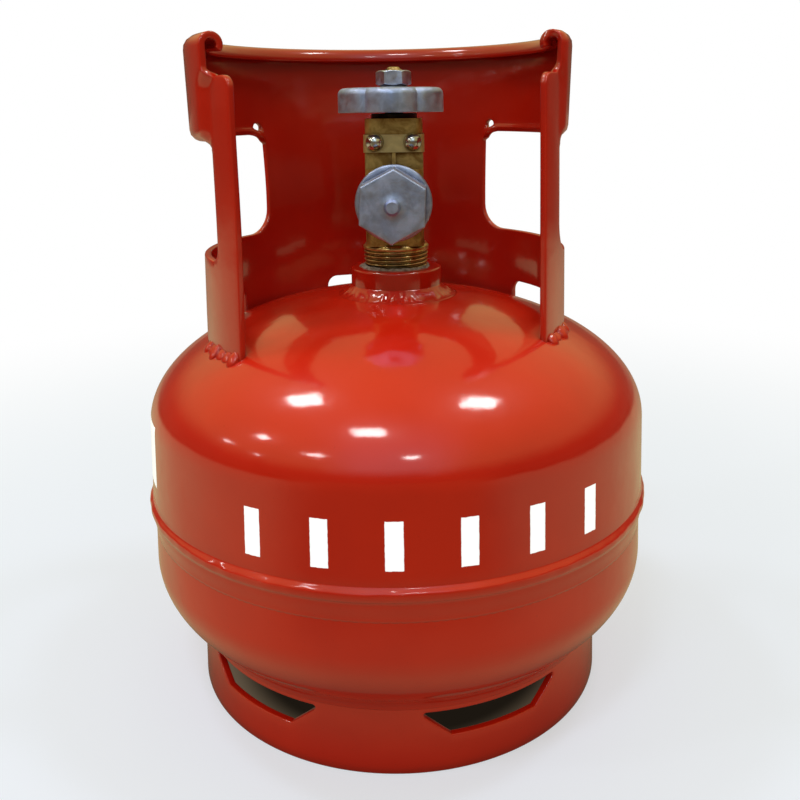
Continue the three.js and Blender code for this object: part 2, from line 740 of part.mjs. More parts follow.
// Six shallow lobes: the radius swings between the tips and the hollows
function wheelOutline(inset) {
  const points = WHEEL_LOBES * 8;
  return Array.from({ length: points }, (_, i) => {
    const angle = 2 * Math.PI * i / points;
    const hollow = Math.abs(Math.sin(angle * WHEEL_LOBES / 2)) ** 0.6;
    const radius = WHEEL_RADIUS - WHEEL_LOBE_DEPTH * (1 - hollow) - inset;
    return [radius * Math.cos(angle), radius * Math.sin(angle)];
  });
}

function handwheel() {
  const shoulder = WHEEL_TOP - WHEEL_EDGE;
  const shape = new THREE.Shape(wheelOutline(WHEEL_EDGE).map(([x, y]) => new THREE.Vector2(x, y)));
  const rim = new THREE.ExtrudeGeometry(shape, {
    depth: shoulder - WHEEL_BOTTOM,
    bevelThickness: WHEEL_EDGE,
    bevelSize: WHEEL_EDGE,
    bevelSegments: 2,
  });
  const belowFlange = box(80, 80, WHEEL_BOTTOM - 10, WHEEL_BOTTOM);
  return solid(rim.translate(WHEEL_OFFSET, 0, WHEEL_BOTTOM))
    .subtract(belowFlange)
    .subtract(rod(SPINDLE_RADIUS + GAP, WHEEL_BOTTOM - 5, WHEEL_TOP + 5));
}

function wheelWasher() {
  return tube(SPINDLE_RADIUS + GAP, 6.2, WHEEL_TOP + GAP, NUT_BOTTOM - GAP);
}

// The corners of the nut are turned off at its top
function wheelNut() {
  const corner = NUT_ACROSS_FLATS / Math.sqrt(3);
  const chamfered = turned([
    [0, NUT_BOTTOM],
    [corner, NUT_BOTTOM],
    [corner, NUT_TOP - 1],
    [corner - 1.4, NUT_TOP],
    [0, NUT_TOP],
  ]);
  return prism(hexagon(NUT_ACROSS_FLATS, 0), NUT_BOTTOM, NUT_TOP)
    .intersect(chamfered)
    .subtract(rod(SPINDLE_RADIUS, NUT_BOTTOM - 5, NUT_TOP + 5));
}

addPiece(valve, "handwheel", handwheel(), CAST_ALUMINIUM());
addPiece(valve, "wheel_washer", wheelWasher(), STEEL());
addPiece(valve, "wheel_nut", wheelNut(), STEEL());

// ---------------------------------------------------------------- outlet cap

// In the outlet group +Z points out of the outlet, from the valve's axis
const outlet = addGroup(valve, 0, 0, OUTLET_HEIGHT);
outlet.rotation.x = Math.PI / 2;

function outletCap() {
  const boreEnd = SPIGOT_END + GAP + 2 + GAP;
  const nub = turned([
    [0, CAP_FRONT - 1],
    [CAP_NUB_RADIUS, CAP_FRONT - 1],
    [CAP_NUB_RADIUS, CAP_FRONT + 0.8],
    [CAP_NUB_RADIUS - 0.8, CAP_FRONT + CAP_NUB_LENGTH],
    [0, CAP_FRONT + CAP_NUB_LENGTH],
  ]);
  return rod(CAP_FLANGE_RADIUS, CAP_BACK, CAP_FLANGE_FRONT)
    .add(prism(hexagon(CAP_ACROSS_FLATS, 90 + CAP_TWIST), CAP_BACK, CAP_FRONT))
    .add(nub)
    .subtract(rod(SPIGOT_RADIUS + GAP, CAP_BACK - 5, boreEnd));
}

function capGasket() {
  const base = SPIGOT_END + GAP;
  return tube(OUTLET_BORE + 1, SPIGOT_RADIUS - 0.2, base, base + 2);
}

addPiece(outlet, "outlet_cap", outletCap(), CAST_ALUMINIUM());
addPiece(outlet, "cap_gasket", capGasket(), SEAL());

export default cylinder;
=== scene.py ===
"""A small welded steel gas cylinder: fine meshes and paint, brass and cast-metal looks round its CAD frame.

Lengths are in millimetres until a mesh is made. An azimuth is in degrees, 0 at -Y and growing towards +X.
"""

import math

import bmesh
import bpy
import numpy as np
from mathutils import Matrix, Vector, noise
from mathutils.geometry import delaunay_2d_cdt


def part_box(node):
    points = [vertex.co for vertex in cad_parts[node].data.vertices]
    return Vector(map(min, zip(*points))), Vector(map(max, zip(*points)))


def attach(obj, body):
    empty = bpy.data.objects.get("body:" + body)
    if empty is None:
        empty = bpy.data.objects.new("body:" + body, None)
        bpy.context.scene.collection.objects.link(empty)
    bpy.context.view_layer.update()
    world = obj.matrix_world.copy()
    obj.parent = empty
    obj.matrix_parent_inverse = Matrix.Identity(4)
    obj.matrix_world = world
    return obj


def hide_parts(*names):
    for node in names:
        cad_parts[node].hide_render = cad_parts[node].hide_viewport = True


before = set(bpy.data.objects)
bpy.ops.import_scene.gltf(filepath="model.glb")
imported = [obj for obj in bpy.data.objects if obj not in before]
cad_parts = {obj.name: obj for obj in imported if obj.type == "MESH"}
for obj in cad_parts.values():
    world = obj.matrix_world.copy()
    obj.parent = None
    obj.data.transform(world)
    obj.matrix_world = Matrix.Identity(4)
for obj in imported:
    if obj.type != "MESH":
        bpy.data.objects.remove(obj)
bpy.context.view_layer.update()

MM = 0.001


def node_box(node):
    """Lowest and highest corner of a CAD node, in millimetres."""
    low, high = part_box(node)
    return np.array(low) / MM, np.array(high) / MM


# ---------------- sizes, from the frame where it has them

upper_low, upper_high = node_box("upper_shell")
lower_low, lower_high = node_box("lower_shell")
_, ring_high = node_box("foot_ring")
boss_low, boss_high = node_box("neck_boss")
_, seam_high = node_box("seam_weld")
_, collar_high = node_box("guard_collar")
body_low, body_high = node_box("valve_body")
wheel_low, wheel_high = node_box("handwheel")
nut_low, nut_high = node_box("wheel_nut")
washer_low, washer_high = node_box("wheel_washer")
gland_low, gland_high = node_box("gland_nut")
spindle_low, spindle_high = node_box("spindle")
cap_low, cap_high = node_box("outlet_cap")
gasket_low, gasket_high = node_box("cap_gasket")
ball_low, ball_high = node_box("locking_ball_right")

SHELL_WALL = 2
SHELL_RADIUS = upper_high[0]
SHELL_EDGE = upper_low[2]
DOME_RISE = 51.5
DOME_START = 118.5
BOWL_RADIUS = lower_high[0]
BOWL_DROP = 52
BOWL_START = lower_low[2] + BOWL_DROP
JOGGLE_START = 75
JOGGLE_END = 78
SEAM_RADIUS = seam_high[0]

FOOT_RADIUS = ring_high[0]
FOOT_SHEET = 3
FOOT_SLOT_FIRST = -38.8
FOOT_SLOT_PITCH = 65
FOOT_SLOTS = [FOOT_SLOT_FIRST + FOOT_SLOT_PITCH * i for i in range(5)]
FOOT_SLOT_BASE = 14.3
FOOT_SLOT_TOP = 24.2
FOOT_SLOT_HALF_TOP = 20.2
FOOT_SLOT_HALF_BASE = 12
FOOT_BUTT = 271

VALVE_X = (boss_low[0] + boss_high[0]) / 2
BOSS_RADIUS = (boss_high[0] - boss_low[0]) / 2
BOSS_TOP = boss_high[2]

COLLAR_X = -4.2
COLLAR_Y = 0.9
COLLAR_TURN = 6.2
COLLAR_RADIUS = 81.5
COLLAR_SHEET = 3
COLLAR_TOP = collar_high[2]
CURL_RADIUS = 5.4
CURL_SWEEP = 197
CURL_SWEEP_AT_ENDS = 214
BAND_BASE = 237
BAND_FULL = 245
BAND_FLARE = 3
BAND_LEAN = 1.6
BAND_OFFSET = 1.6
FOLD_HEIGHT = 245
FOLD_RADIUS = 3.4
STRIP_LEAN = 1.8
OPENING_HALF = 50.2
RIM_END = 60.5
STRIP_TOP = 267
HAND_HOLE_FROM = 62
HAND_HOLE_TO = 135
HAND_HOLE_BASE = 190.5
HAND_HOLE_TOP = 241
HAND_HOLE_TOP_DROP = 4.5
RELIEF_HOLE = (132.5, 244.5, 2.1)   # azimuth, height, radius
FOOT_GAPS = [                       # from, to, top
    (81, 120.5, 164.5),
    (160.5, 199.5, 163),
    (239.5, 279, 164.5),
]

TAIL_TOP = 189.6
TAIL_TOP_RADIUS = 14.9
TAIL_TAPER = 0.076
THREAD_PITCH = 1.814
THREAD_DEPTH = 1.1
BODY_BOTTOM = 191.6
BODY_WIDTH = 26
BAND_BLOCK = (233.7, 241.6)
BAND_BLOCK_WIDTH = 27
BODY_TOP = body_high[2]
SEAT_HEIGHT = 204
CHAMBER_RADIUS = 8.2
CHAMBER_TOP = 228.5
INLET_BORE = 3.5
OUTLET_BORE = 4
TANG_WIDTH = 5

OUTLET_HEIGHT = (cap_low[2] + cap_high[2]) / 2
SPIGOT_RADIUS = 10.9
SPIGOT_END = -body_low[1]
CAP_BACK = -cap_high[1]
CAP_NUB_LENGTH = 2.6
CAP_NUB_RADIUS = 3.3
CAP_FRONT = -cap_low[1] - CAP_NUB_LENGTH
CAP_FLANGE = 3
CAP_FLANGE_RADIUS = 16.7
CAP_ACROSS_FLATS = 27.4
CAP_TWIST = 2.2


# ---------------- mesh helpers

def arc(centre_x, centre_y, radius_x, radius_y, start, end, steps):
    """Points on an ellipse from one angle in degrees to another."""
    angles = np.radians(np.linspace(start, end, steps + 1))
    return [(centre_x + radius_x * math.cos(a), centre_y + radius_y * math.sin(a)) for a in angles]


def rounded(corners, steps=4, closed=True):
    """A polygon whose corners (x, y, radius) are rounded. The ends of an open line stay sharp."""
    points = []
    count = len(corners)
    for i, (x, y, radius) in enumerate(corners):
        corner = Vector((x, y))
        if radius == 0 or (not closed and i in (0, count - 1)):
            points.append((x, y))
            continue
        before = (Vector(corners[i - 1][:2]) - corner).normalized()
        after = (Vector(corners[(i + 1) % count][:2]) - corner).normalized()
        half = math.acos(max(-1, min(1, before.dot(after)))) / 2
        start = corner + before * (radius / math.tan(half))
        centre = corner + (before + after).normalized() * (radius / math.sin(half))
        turn = -(math.pi - 2 * half) * math.copysign(1, before.x * after.y - before.y * after.x)
        for step in range(steps + 1):
            spoke = start - centre
            spoke.rotate(Matrix.Rotation(turn * step / steps, 2))
            points.append(tuple(centre + spoke))
    return points


def smoothstep(start, end, value):
    """0 before start, 1 after end and smooth in between."""
    share = np.clip((np.asarray(value, float) - start) / (end - start), 0, 1)
    return share * share * (3 - 2 * share)


def grid_faces(rows, columns, wrap_rows, wrap_columns):
    """Quads of a grid whose vertex number is row * columns + column."""
    row = np.arange(rows if wrap_rows else rows - 1)
    column = np.arange(columns if wrap_columns else columns - 1)
    near_row, near_column = np.meshgrid(row, column, indexing="ij")
    far_row = (near_row + 1) % rows
    far_column = (near_column + 1) % columns
    corners = [(near_row, near_column), (far_row, near_column), (far_row, far_column), (near_row, far_column)]
    return np.stack([r * columns + c for r, c in corners], -1).reshape(-1, 4)


def capped_grid(rows):
    """A closed bar: rings of points, one after the other, with a face over each end."""
    count, size, _ = np.shape(rows)
    last = (count - 1) * size
    faces = grid_faces(count, size, False, True).tolist()
    faces += [list(range(size))[::-1], list(range(last, last + size))]
    return np.array(rows).reshape(-1, 3), faces


def turned(profile, angles, shape=None, centre=(0, 0)):
    """Turns a closed profile of (radius, height), or one that starts and ends on the axis, about a
    vertical axis. shape(azimuth, radius, height) returns changed radii and heights."""
    profile = np.array(profile, float)
    closed = profile[0][0] > 0
    azimuth = np.radians(np.asarray(angles, float))[:, None]
    radius = np.broadcast_to(profile[:, 0], (len(angles), len(profile))).copy()
    height = np.broadcast_to(profile[:, 1], radius.shape).copy()
    if shape:
        radius, height = shape(np.degrees(azimuth) + 0 * radius, radius, height)
    x = centre[0] + radius * np.sin(azimuth)
    y = centre[1] - radius * np.cos(azimuth)
    vertices = np.stack([x, y, height], -1).reshape(-1, 3)
    return vertices, grid_faces(len(angles), len(profile), True, closed)


def on_valve(profile, segments, shape=None):
    """Turns a profile about the valve's upright axis."""
    return turned(profile, full_turn(segments), shape, (VALVE_X, 0))


def full_turn(segments):
    return np.arange(segments) * 360 / segments


def hexagon_angles():
    """Azimuths round a hexagon, close together at its corners."""
    side = [-30, -29.4, -28.8, -28.2, -27.5, -26, -22, -15, -8, 0, 8, 15, 22, 26, 27.5, 28.2, 28.8, 29.4]
    return np.array([60 * i + a for i in range(6) for a in side])


def hexagon_radius(azimuth, apothem, first_flat=0):
    """Radius of a hexagon with rounded corners at an azimuth."""
    corner_radius = 0.35
    from_flat = np.radians((azimuth - first_flat + 30) % 60 - 30)
    flat = apothem / np.cos(from_flat)
    corner_distance = (apothem - corner_radius) / math.cos(math.radians(30))
    from_corner = math.radians(30) - np.abs(from_flat)
    reach = np.maximum(corner_radius ** 2 - (corner_distance * np.sin(from_corner)) ** 2, 0)
    rounded_corner = corner_distance * np.cos(from_corner) + np.sqrt(reach)
    tangent = math.atan((apothem - corner_radius) * math.tan(math.radians(30)) / apothem)
    return np.where(np.abs(from_flat) > tangent, rounded_corner, flat)


def ripple(along, seed):
    """Uneven, rounded waves along a weld, about 0 on average; along is in millimetres."""
    waves = abs(math.sin(along * 0.95 + 1.7 * math.sin(along * 0.21 + seed))) - 0.64
    drift = 0.35 * math.sin(along * 0.37 + seed * 2.1) + 0.4 * math.sin(along * 0.133 + seed)
    return 0.55 * waves + 0.45 * drift


def clean_mesh(name, mesh_data):
    """A mesh from vertices in millimetres and faces, with doubled points merged and its faces turned out."""
    vertices, faces = mesh_data
    if isinstance(faces, np.ndarray):
        faces = faces.tolist()
    mesh = bpy.data.meshes.new(name)
    mesh.from_pydata((np.asarray(vertices) * MM).tolist(), [], faces)
    edit = bmesh.new()
    edit.from_mesh(mesh)
    bmesh.ops.remove_doubles(edit, verts=edit.verts, dist=1e-6)
    bmesh.ops.dissolve_degenerate(edit, edges=edit.edges, dist=1e-7)
    bmesh.ops.recalc_face_normals(edit, faces=edit.faces)
    edit.to_mesh(mesh)
    edit.free()
    return mesh


def make_piece(name, mesh_data, material, body="cylinder", nodes=(), sharp=None, bevel=None):
    """A piece from vertices in millimetres and faces."""
    finish_piece(name, clean_mesh(name, mesh_data), material, body, nodes, sharp, bevel)


def stand_in(node, mesh_data, material, body="cylinder", sharp=None, bevel=None):
    """A fine piece that stands for one CAD node."""
    make_piece(f"{node}_fine", mesh_data, material, body, [node], sharp, bevel)


def finish_piece(name, mesh, material, body="cylinder", nodes=(), sharp=None, bevel=None):
    """A piece that rides on a body and stands for CAD nodes. Edges over sharp degrees stay sharp, and
    bevel is how far they are rounded where the mesh leaves room for it."""
    mesh.materials.clear()
    mesh.materials.append(material)
    mesh.shade_smooth()
    if sharp:
        mesh.set_sharp_from_angle(angle=math.radians(sharp))
    piece = bpy.data.objects.new(name, mesh)
    bpy.context.scene.collection.objects.link(piece)
    if bevel:
        modifier = piece.modifiers.new("soft_edges", "BEVEL")
        modifier.width = bevel * MM
        modifier.segments = 3
        modifier.limit_method = "ANGLE"
        modifier.angle_limit = math.radians(35)
        modifier.harden_normals = True
    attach(piece, body)
    if nodes:
        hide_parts(*nodes)


def plain_object(name, mesh_data):
    """An object with no material, for cutting and joining."""
    made = bpy.data.objects.new(name, clean_mesh(name, mesh_data))
    bpy.context.scene.collection.objects.link(made)
    return made


def combine(base, steps):
    """Joins and cuts: steps are (operation, object). Returns the mesh that results."""
    for operation, tool in steps:
        modifier = base.modifiers.new(operation, "BOOLEAN")
        modifier.operation = operation
        modifier.solver = "EXACT"
        modifier.object = tool
    bpy.context.view_layer.update()
    evaluated = base.evaluated_get(bpy.context.evaluated_depsgraph_get())
    mesh = bpy.data.meshes.new_from_object(evaluated)
    for item in [base] + [tool for _, tool in steps]:
        bpy.data.objects.remove(item)
    return mesh


def prism(outline, bottom, top):
    """An outline of (x, y) raised from one height to another."""
    count = len(outline)
    vertices = [(x, y, z) for z in (bottom, top) for x, y in outline]
    faces = [tuple(reversed(range(count))), tuple(range(count, 2 * count))]
    faces += [(i, (i + 1) % count, count + (i + 1) % count, count + i) for i in range(count)]
    return vertices, faces


def rounded_square(width, radius):
    half = width / 2
    corners = [(-half, -half, radius), (half, -half, radius), (half, half, radius), (-half, half, radius)]
    return rounded(corners, 5)


def moved(mesh_data, x=0.0, y=0.0, z=0.0, rotation=None):
    """Turns and then moves a mesh."""
    vertices, faces = mesh_data
    vertices = np.asarray(vertices, float)
    if rotation is not None:
        vertices = vertices @ np.array(rotation).T
    return vertices + np.array([x, y, z]), faces


def towards_outlet(mesh_data):
    """Turns a piece that points up its axis so that it points out of the valve's outlet."""
    return moved(mesh_data, x=VALVE_X, z=OUTLET_HEIGHT, rotation=Matrix.Rotation(math.radians(90), 3, "X"))


# ---------------- bent sheets

def resample(loop, spacing):
    """A closed loop with points no further apart than the spacing."""
    points = []
    for start, end in zip(loop, loop[1:] + loop[:1]):
        length = math.dist(start, end)
        parts = max(1, math.ceil(length / spacing))
        points += [(start[0] + (end[0] - start[0]) * k / parts, start[1] + (end[1] - start[1]) * k / parts)
                   for k in range(parts) if length > 1e-6]
    return np.array(points)


def signed_area(loop):
    x, y = loop[:, 0], loop[:, 1]
    return 0.5 * float(np.sum(x * np.roll(y, -1) - np.roll(x, -1) * y))


def inside(points, loops):
    """Which points lie inside the first loop and outside the others."""
    odd = np.zeros(len(points), bool)
    for loop in loops:
        x0, y0 = loop[:, 0], loop[:, 1]
        x1, y1 = np.roll(x0, -1), np.roll(y0, -1)
        px, py = points[:, 0:1], points[:, 1:2]
        spans = (y0 > py) != (y1 > py)
        crossing = x0 + (py - y0) / np.where(y1 == y0, 1, y1 - y0) * (x1 - x0)
        odd ^= (np.sum(spans & (px < crossing), 1) % 2).astype(bool)
    return odd


def bent_sheet(outlines, surface, thickness, edge_radius, spacing):
    """A sheet with rounded edges. outlines are closed loops of (along, up), the edge first and then the
    holes; surface(along, up) gives points on the middle of the sheet."""
    loops = []
    for i, outline in enumerate(outlines):
        loop = resample(outline, spacing * 0.6)
        wanted = 1 if i == 0 else -1
        loops.append(loop if signed_area(loop) * wanted > 0 else loop[::-1])
    inwards = []
    for loop in loops:
        tangent = np.roll(loop, -1, 0) - np.roll(loop, 1, 0)
        tangent /= np.linalg.norm(tangent, axis=1)[:, None]
        inwards.append(np.stack([-tangent[:, 1], tangent[:, 0]], 1))
    inset = [loop + normal * edge_radius for loop, normal in zip(loops, inwards)]

    low, high = inset[0].min(0), inset[0].max(0)
    along, up = np.meshgrid(np.arange(low[0], high[0], spacing), np.arange(low[1], high[1], spacing))
    along = along + (np.arange(len(along)) % 2)[:, None] * spacing / 2
    filling = np.stack([along.ravel(), up.ravel()], 1)
    filling = filling[inside(filling, inset)]
    border = np.concatenate(inset)
    clear = np.array([np.min(np.sum((border - p) ** 2, 1)) for p in filling]) > (0.6 * spacing) ** 2
    flat = np.concatenate([border, filling[clear]])

    edges, start = [], 0
    for loop in inset:
        count = len(loop)
        edges += [(start + i, start + (i + 1) % count) for i in range(count)]
        start += count
    _, _, triangles, source, _, _ = delaunay_2d_cdt([Vector(p) for p in flat], edges, [], 0, 1e-6)
    number = [ids[0] for ids in source]
    triangles = np.array([[number[i] for i in t] for t in triangles])
    triangles = triangles[inside(flat[triangles].mean(1), inset)]

    def place(points, offset):
        a, u = points[:, 0], points[:, 1]
        step = 0.01
        middle = surface(a, u)
        normal = np.cross(surface(a + step, u) - middle, surface(a, u + step) - middle)
        normal /= np.linalg.norm(normal, axis=1)[:, None]
        return middle + normal * offset

    half = thickness / 2
    count = len(flat)
    vertices = [place(flat, half), place(flat, -half)]
    faces = triangles.tolist() + (triangles[:, ::-1] + count).tolist()
    turn = [math.radians(a) for a in (90, 60, 30, 0)]
    across = [(edge_radius * (1 - math.cos(a)), half - edge_radius * (1 - math.sin(a))) for a in turn]
    across += [(depth, -offset) for depth, offset in reversed(across)]
    total, start = 2 * count, 0
    for loop, normal in zip(loops, inwards):
        size = len(loop)
        rings = [np.arange(start, start + size)]
        for depth, offset in across[1:-1]:
            vertices.append(place(loop + normal * depth, offset))
            rings.append(np.arange(total, total + size))
            total += size
        rings.append(np.arange(start, start + size) + count)
        for upper, lower in zip(rings, rings[1:]):
            faces += np.stack([upper, lower, np.roll(lower, -1), np.roll(upper, -1)], 1).tolist()
        start += size
    return np.concatenate(vertices), faces


# ---------------- materials

def linear(red, green, blue):
    """A colour given as 0 to 255 screen values, in linear light."""
    def channel(value):
        share = value / 255
        return share / 12.92 if share <= 0.04045 else ((share + 0.055) / 1.055) ** 2.4
    return channel(red), channel(green), channel(blue), 1


class Nodes:
    """A short way to build a material's or world's node tree."""

    def __init__(self, tree):
        self.tree = tree
        tree.nodes.clear()

    def add(self, kind, inputs=None, **settings):
        made = self.tree.nodes.new(kind)
        for name, value in settings.items():
            setattr(made, name, value)
        for name, value in (inputs or {}).items():
            if isinstance(value, bpy.types.NodeSocket):
                self.tree.links.new(value, made.inputs[name])
            else:
                made.inputs[name].default_value = value
        return made

    def value(self, operation, first, second=0.0):
        return self.add("ShaderNodeMath", {0: first, 1: second}, operation=operation).outputs[0]

    def vector(self, operation, first, second=(0, 0, 0)):
        return self.add("ShaderNodeVectorMath", {0: first, 1: second}, operation=operation).outputs

    def place(self):
        """Where a point is in its object, in metres."""
        return self.add("ShaderNodeTexCoord").outputs["Object"]

    def crevice(self, reach):
        """Near 0 deep in corners and 1 out in the open; reach is in millimetres."""
        return self.add("ShaderNodeAmbientOcclusion", {"Distance": reach * MM}, samples=6).outputs["AO"]

    def emission(self, colour, strength=1.0):
        return self.add("ShaderNodeEmission", {"Color": colour, "Strength": strength}).outputs[0]

    def mix_shaders(self, share, first, second):
        return self.add("ShaderNodeMixShader", {0: share, 1: first, 2: second}).outputs[0]

    def noise(self, coordinates, scale, detail=3.0, roughness=0.5, distortion=0.0):
        inputs = {"Vector": coordinates, "Scale": scale, "Detail": detail, "Roughness": roughness,
                  "Distortion": distortion}
        return self.add("ShaderNodeTexNoise", inputs).outputs["Fac"]

    def stretch(self, value, low, high, to_low=0.0, to_high=1.0):
        inputs = {"Value": value, "From Min": low, "From Max": high, "To Min": to_low, "To Max": to_high}
        return self.add("ShaderNodeMapRange", inputs, interpolation_type="SMOOTHSTEP").outputs["Result"]

    def mix(self, share, first, second):
        made = self.add("ShaderNodeMix", {"Factor": share}, data_type="RGBA")
        for socket, value in ((made.inputs[6], first), (made.inputs[7], second)):
            if isinstance(value, bpy.types.NodeSocket):
                self.tree.links.new(value, socket)
            else:
                socket.default_value = value
        return made.outputs[2]

    def bump(self, height, strength, distance, normal=None):
        inputs = {"Height": height, "Strength": strength, "Distance": distance * MM}
        if normal is not None:
            inputs["Normal"] = normal
        return self.add("ShaderNodeBump", inputs).outputs["Normal"]


def new_material(name):
    material = bpy.data.materials.new(name)
    material.use_nodes = True
    return material, Nodes(material.node_tree)


def finish_material(nodes, inputs):
    shader = nodes.add("ShaderNodeBsdfPrincipled", inputs)
    nodes.add("ShaderNodeOutputMaterial", {"Surface": shader.outputs[0]})


# Marks are placed and measured round the belly in degrees, and up it in millimetres.
MARK_COUNT = 6
MARK_PITCH = 13.9
MARK_FIRST = -26.8
MARK_HALF_WIDTH = 1.7
MARK_BASE = 92
MARK_TOP = 110
PATCH_FROM = -88
PATCH_TO = -63.5
PATCH_BASE = 96
PATCH_TOP = 122


def painted_marks(nodes, coordinates):
    """1 where white paint is stencilled on the belly: a row of plain bars and one plain patch."""
    parts = nodes.add("ShaderNodeSeparateXYZ", {0: coordinates}).outputs
    waver = nodes.value("MULTIPLY", nodes.value("SUBTRACT", nodes.noise(coordinates, 500), 0.5), 0.5 * MM)
    height = nodes.value("ADD", parts["Z"], waver)
    angle = nodes.value("ARCTAN2", parts["X"], nodes.value("MULTIPLY", parts["Y"], -1))
    degrees = nodes.value("MULTIPLY", angle, 180 / math.pi)
    azimuth = nodes.value("ADD", degrees, nodes.value("MULTIPLY", waver, 400))

    def between(value, low, high, soft):
        above = nodes.stretch(value, low - soft, low + soft)
        below = nodes.stretch(value, high - soft, high + soft, 1, 0)
        return nodes.value("MULTIPLY", above, below)

    start = MARK_FIRST - MARK_PITCH / 2
    middle = MARK_PITCH / 2
    step = nodes.value("DIVIDE", nodes.value("SUBTRACT", azimuth, start), MARK_PITCH)
    inside_step = nodes.value("MULTIPLY", nodes.value("FRACT", step), MARK_PITCH)
    bar = between(inside_step, middle - MARK_HALF_WIDTH, middle + MARK_HALF_WIDTH, 0.08)
    row = between(azimuth, start, start + MARK_COUNT * MARK_PITCH, 0.1)
    tall = between(height, MARK_BASE * MM, MARK_TOP * MM, 0.15 * MM)
    bars = nodes.value("MULTIPLY", nodes.value("MULTIPLY", bar, row), tall)
    wide = between(azimuth, PATCH_FROM, PATCH_TO, 0.1)
    patch = nodes.value("MULTIPLY", wide, between(height, PATCH_BASE * MM, PATCH_TOP * MM, 0.15 * MM))
    return nodes.value("MAXIMUM", bars, patch)


def facing_axis(nodes):
    """1 on faces that look towards the tank's axis, 0 on level ones and -1 on outside ones."""
    geometry = nodes.add("ShaderNodeNewGeometry").outputs
    inwards = nodes.vector("MULTIPLY", geometry["Position"], (-1, -1, 0))[0]
    inwards = nodes.vector("NORMALIZE", inwards)[0]
    return nodes.vector("DOT_PRODUCT", geometry["Normal"], inwards)["Value"]


def red_paint(name, marked=False, lumpy=0.0, deeper=0.0, inside_shade=0.0):
    """Glossy enamel with orange peel, slow colour drift and painted shade that darkens it in corners. lumpy
    is the height of extra lumps in millimetres. deeper is how dark the paint is on faces turned away from the
    axis, and inside_shade how dark it is on faces turned towards it, a painted shade for the side that less
    light reaches."""
    material, nodes = new_material(name)
    coordinates = nodes.place()
    drift = nodes.stretch(nodes.noise(coordinates, 14, 4), 0.3, 0.7)
    colour = nodes.mix(drift, PAINT_DEEP, PAINT_BRIGHT)
    if inside_shade:
        # painted shade: faces turned towards the axis are drawn darker, as on the collar's inside where less
        # light reaches
        share = nodes.stretch(facing_axis(nodes), -0.5, 0.6, deeper, inside_shade)
        colour = nodes.mix(share, colour, PAINT_DARK)
    fleck = nodes.stretch(nodes.noise(coordinates, 1400, 2), 0.66, 0.8)
    colour = nodes.mix(nodes.value("MULTIPLY", fleck, 0.3), colour, PAINT_FLECK)
    # painted shade: the paint is darkened deep in corners, by how closed in each point is
    painted_corner_shade = nodes.stretch(nodes.crevice(6), 0.35, 0.95, 0.4, 0.0)
    colour = nodes.mix(painted_corner_shade, colour, PAINT_CORNER_SHADE)
    sag = nodes.noise(coordinates, 22, 2)
    waves = nodes.noise(coordinates, 75, 2)
    peel = nodes.noise(coordinates, 260, 2.5, 0.55)
    normal = nodes.bump(sag, 0.5, 1.0)
    normal = nodes.bump(waves, 0.5, 0.3, normal)
    normal = nodes.bump(peel, 0.25, 0.08, normal)
    if lumpy:
        normal = nodes.bump(nodes.noise(coordinates, 420, 4, 0.6, 0.6), 0.8, lumpy, normal)
    rough = nodes.stretch(nodes.noise(coordinates, 60, 3), 0.3, 0.7, 0.3, 0.4)
    coat = 1.0
    painted_glow = 0.0
    if marked:
        mask = painted_marks(nodes, coordinates)
        thin = nodes.stretch(nodes.noise(coordinates, 300, 4), 0.35, 0.75)
        colour = nodes.mix(mask, colour, nodes.mix(thin, MARK_WHITE, MARK_THIN))
        rough = nodes.value("ADD", rough, nodes.value("MULTIPLY", mask, 0.2))
        coat = nodes.value("SUBTRACT", 1, nodes.value("MULTIPLY", mask, 0.7))
        # painted light: the white marks glow a little, brighter than the lamps alone make them
        painted_glow = nodes.value("MULTIPLY", mask, MARK_PAINTED_GLOW)
        normal = nodes.bump(mask, 0.5, 0.06, normal)
    finish_material(nodes, {
        "Base Color": colour,
        "Roughness": rough,
        "Specular IOR Level": 0.15,
        "Normal": normal,
        "Emission Color": MARK_WHITE,
        "Emission Strength": painted_glow,
        "Coat Weight": coat,
        "Coat Roughness": 0.1,
        "Coat IOR": 1.55,
        "Coat Normal": normal,
    })
    return material


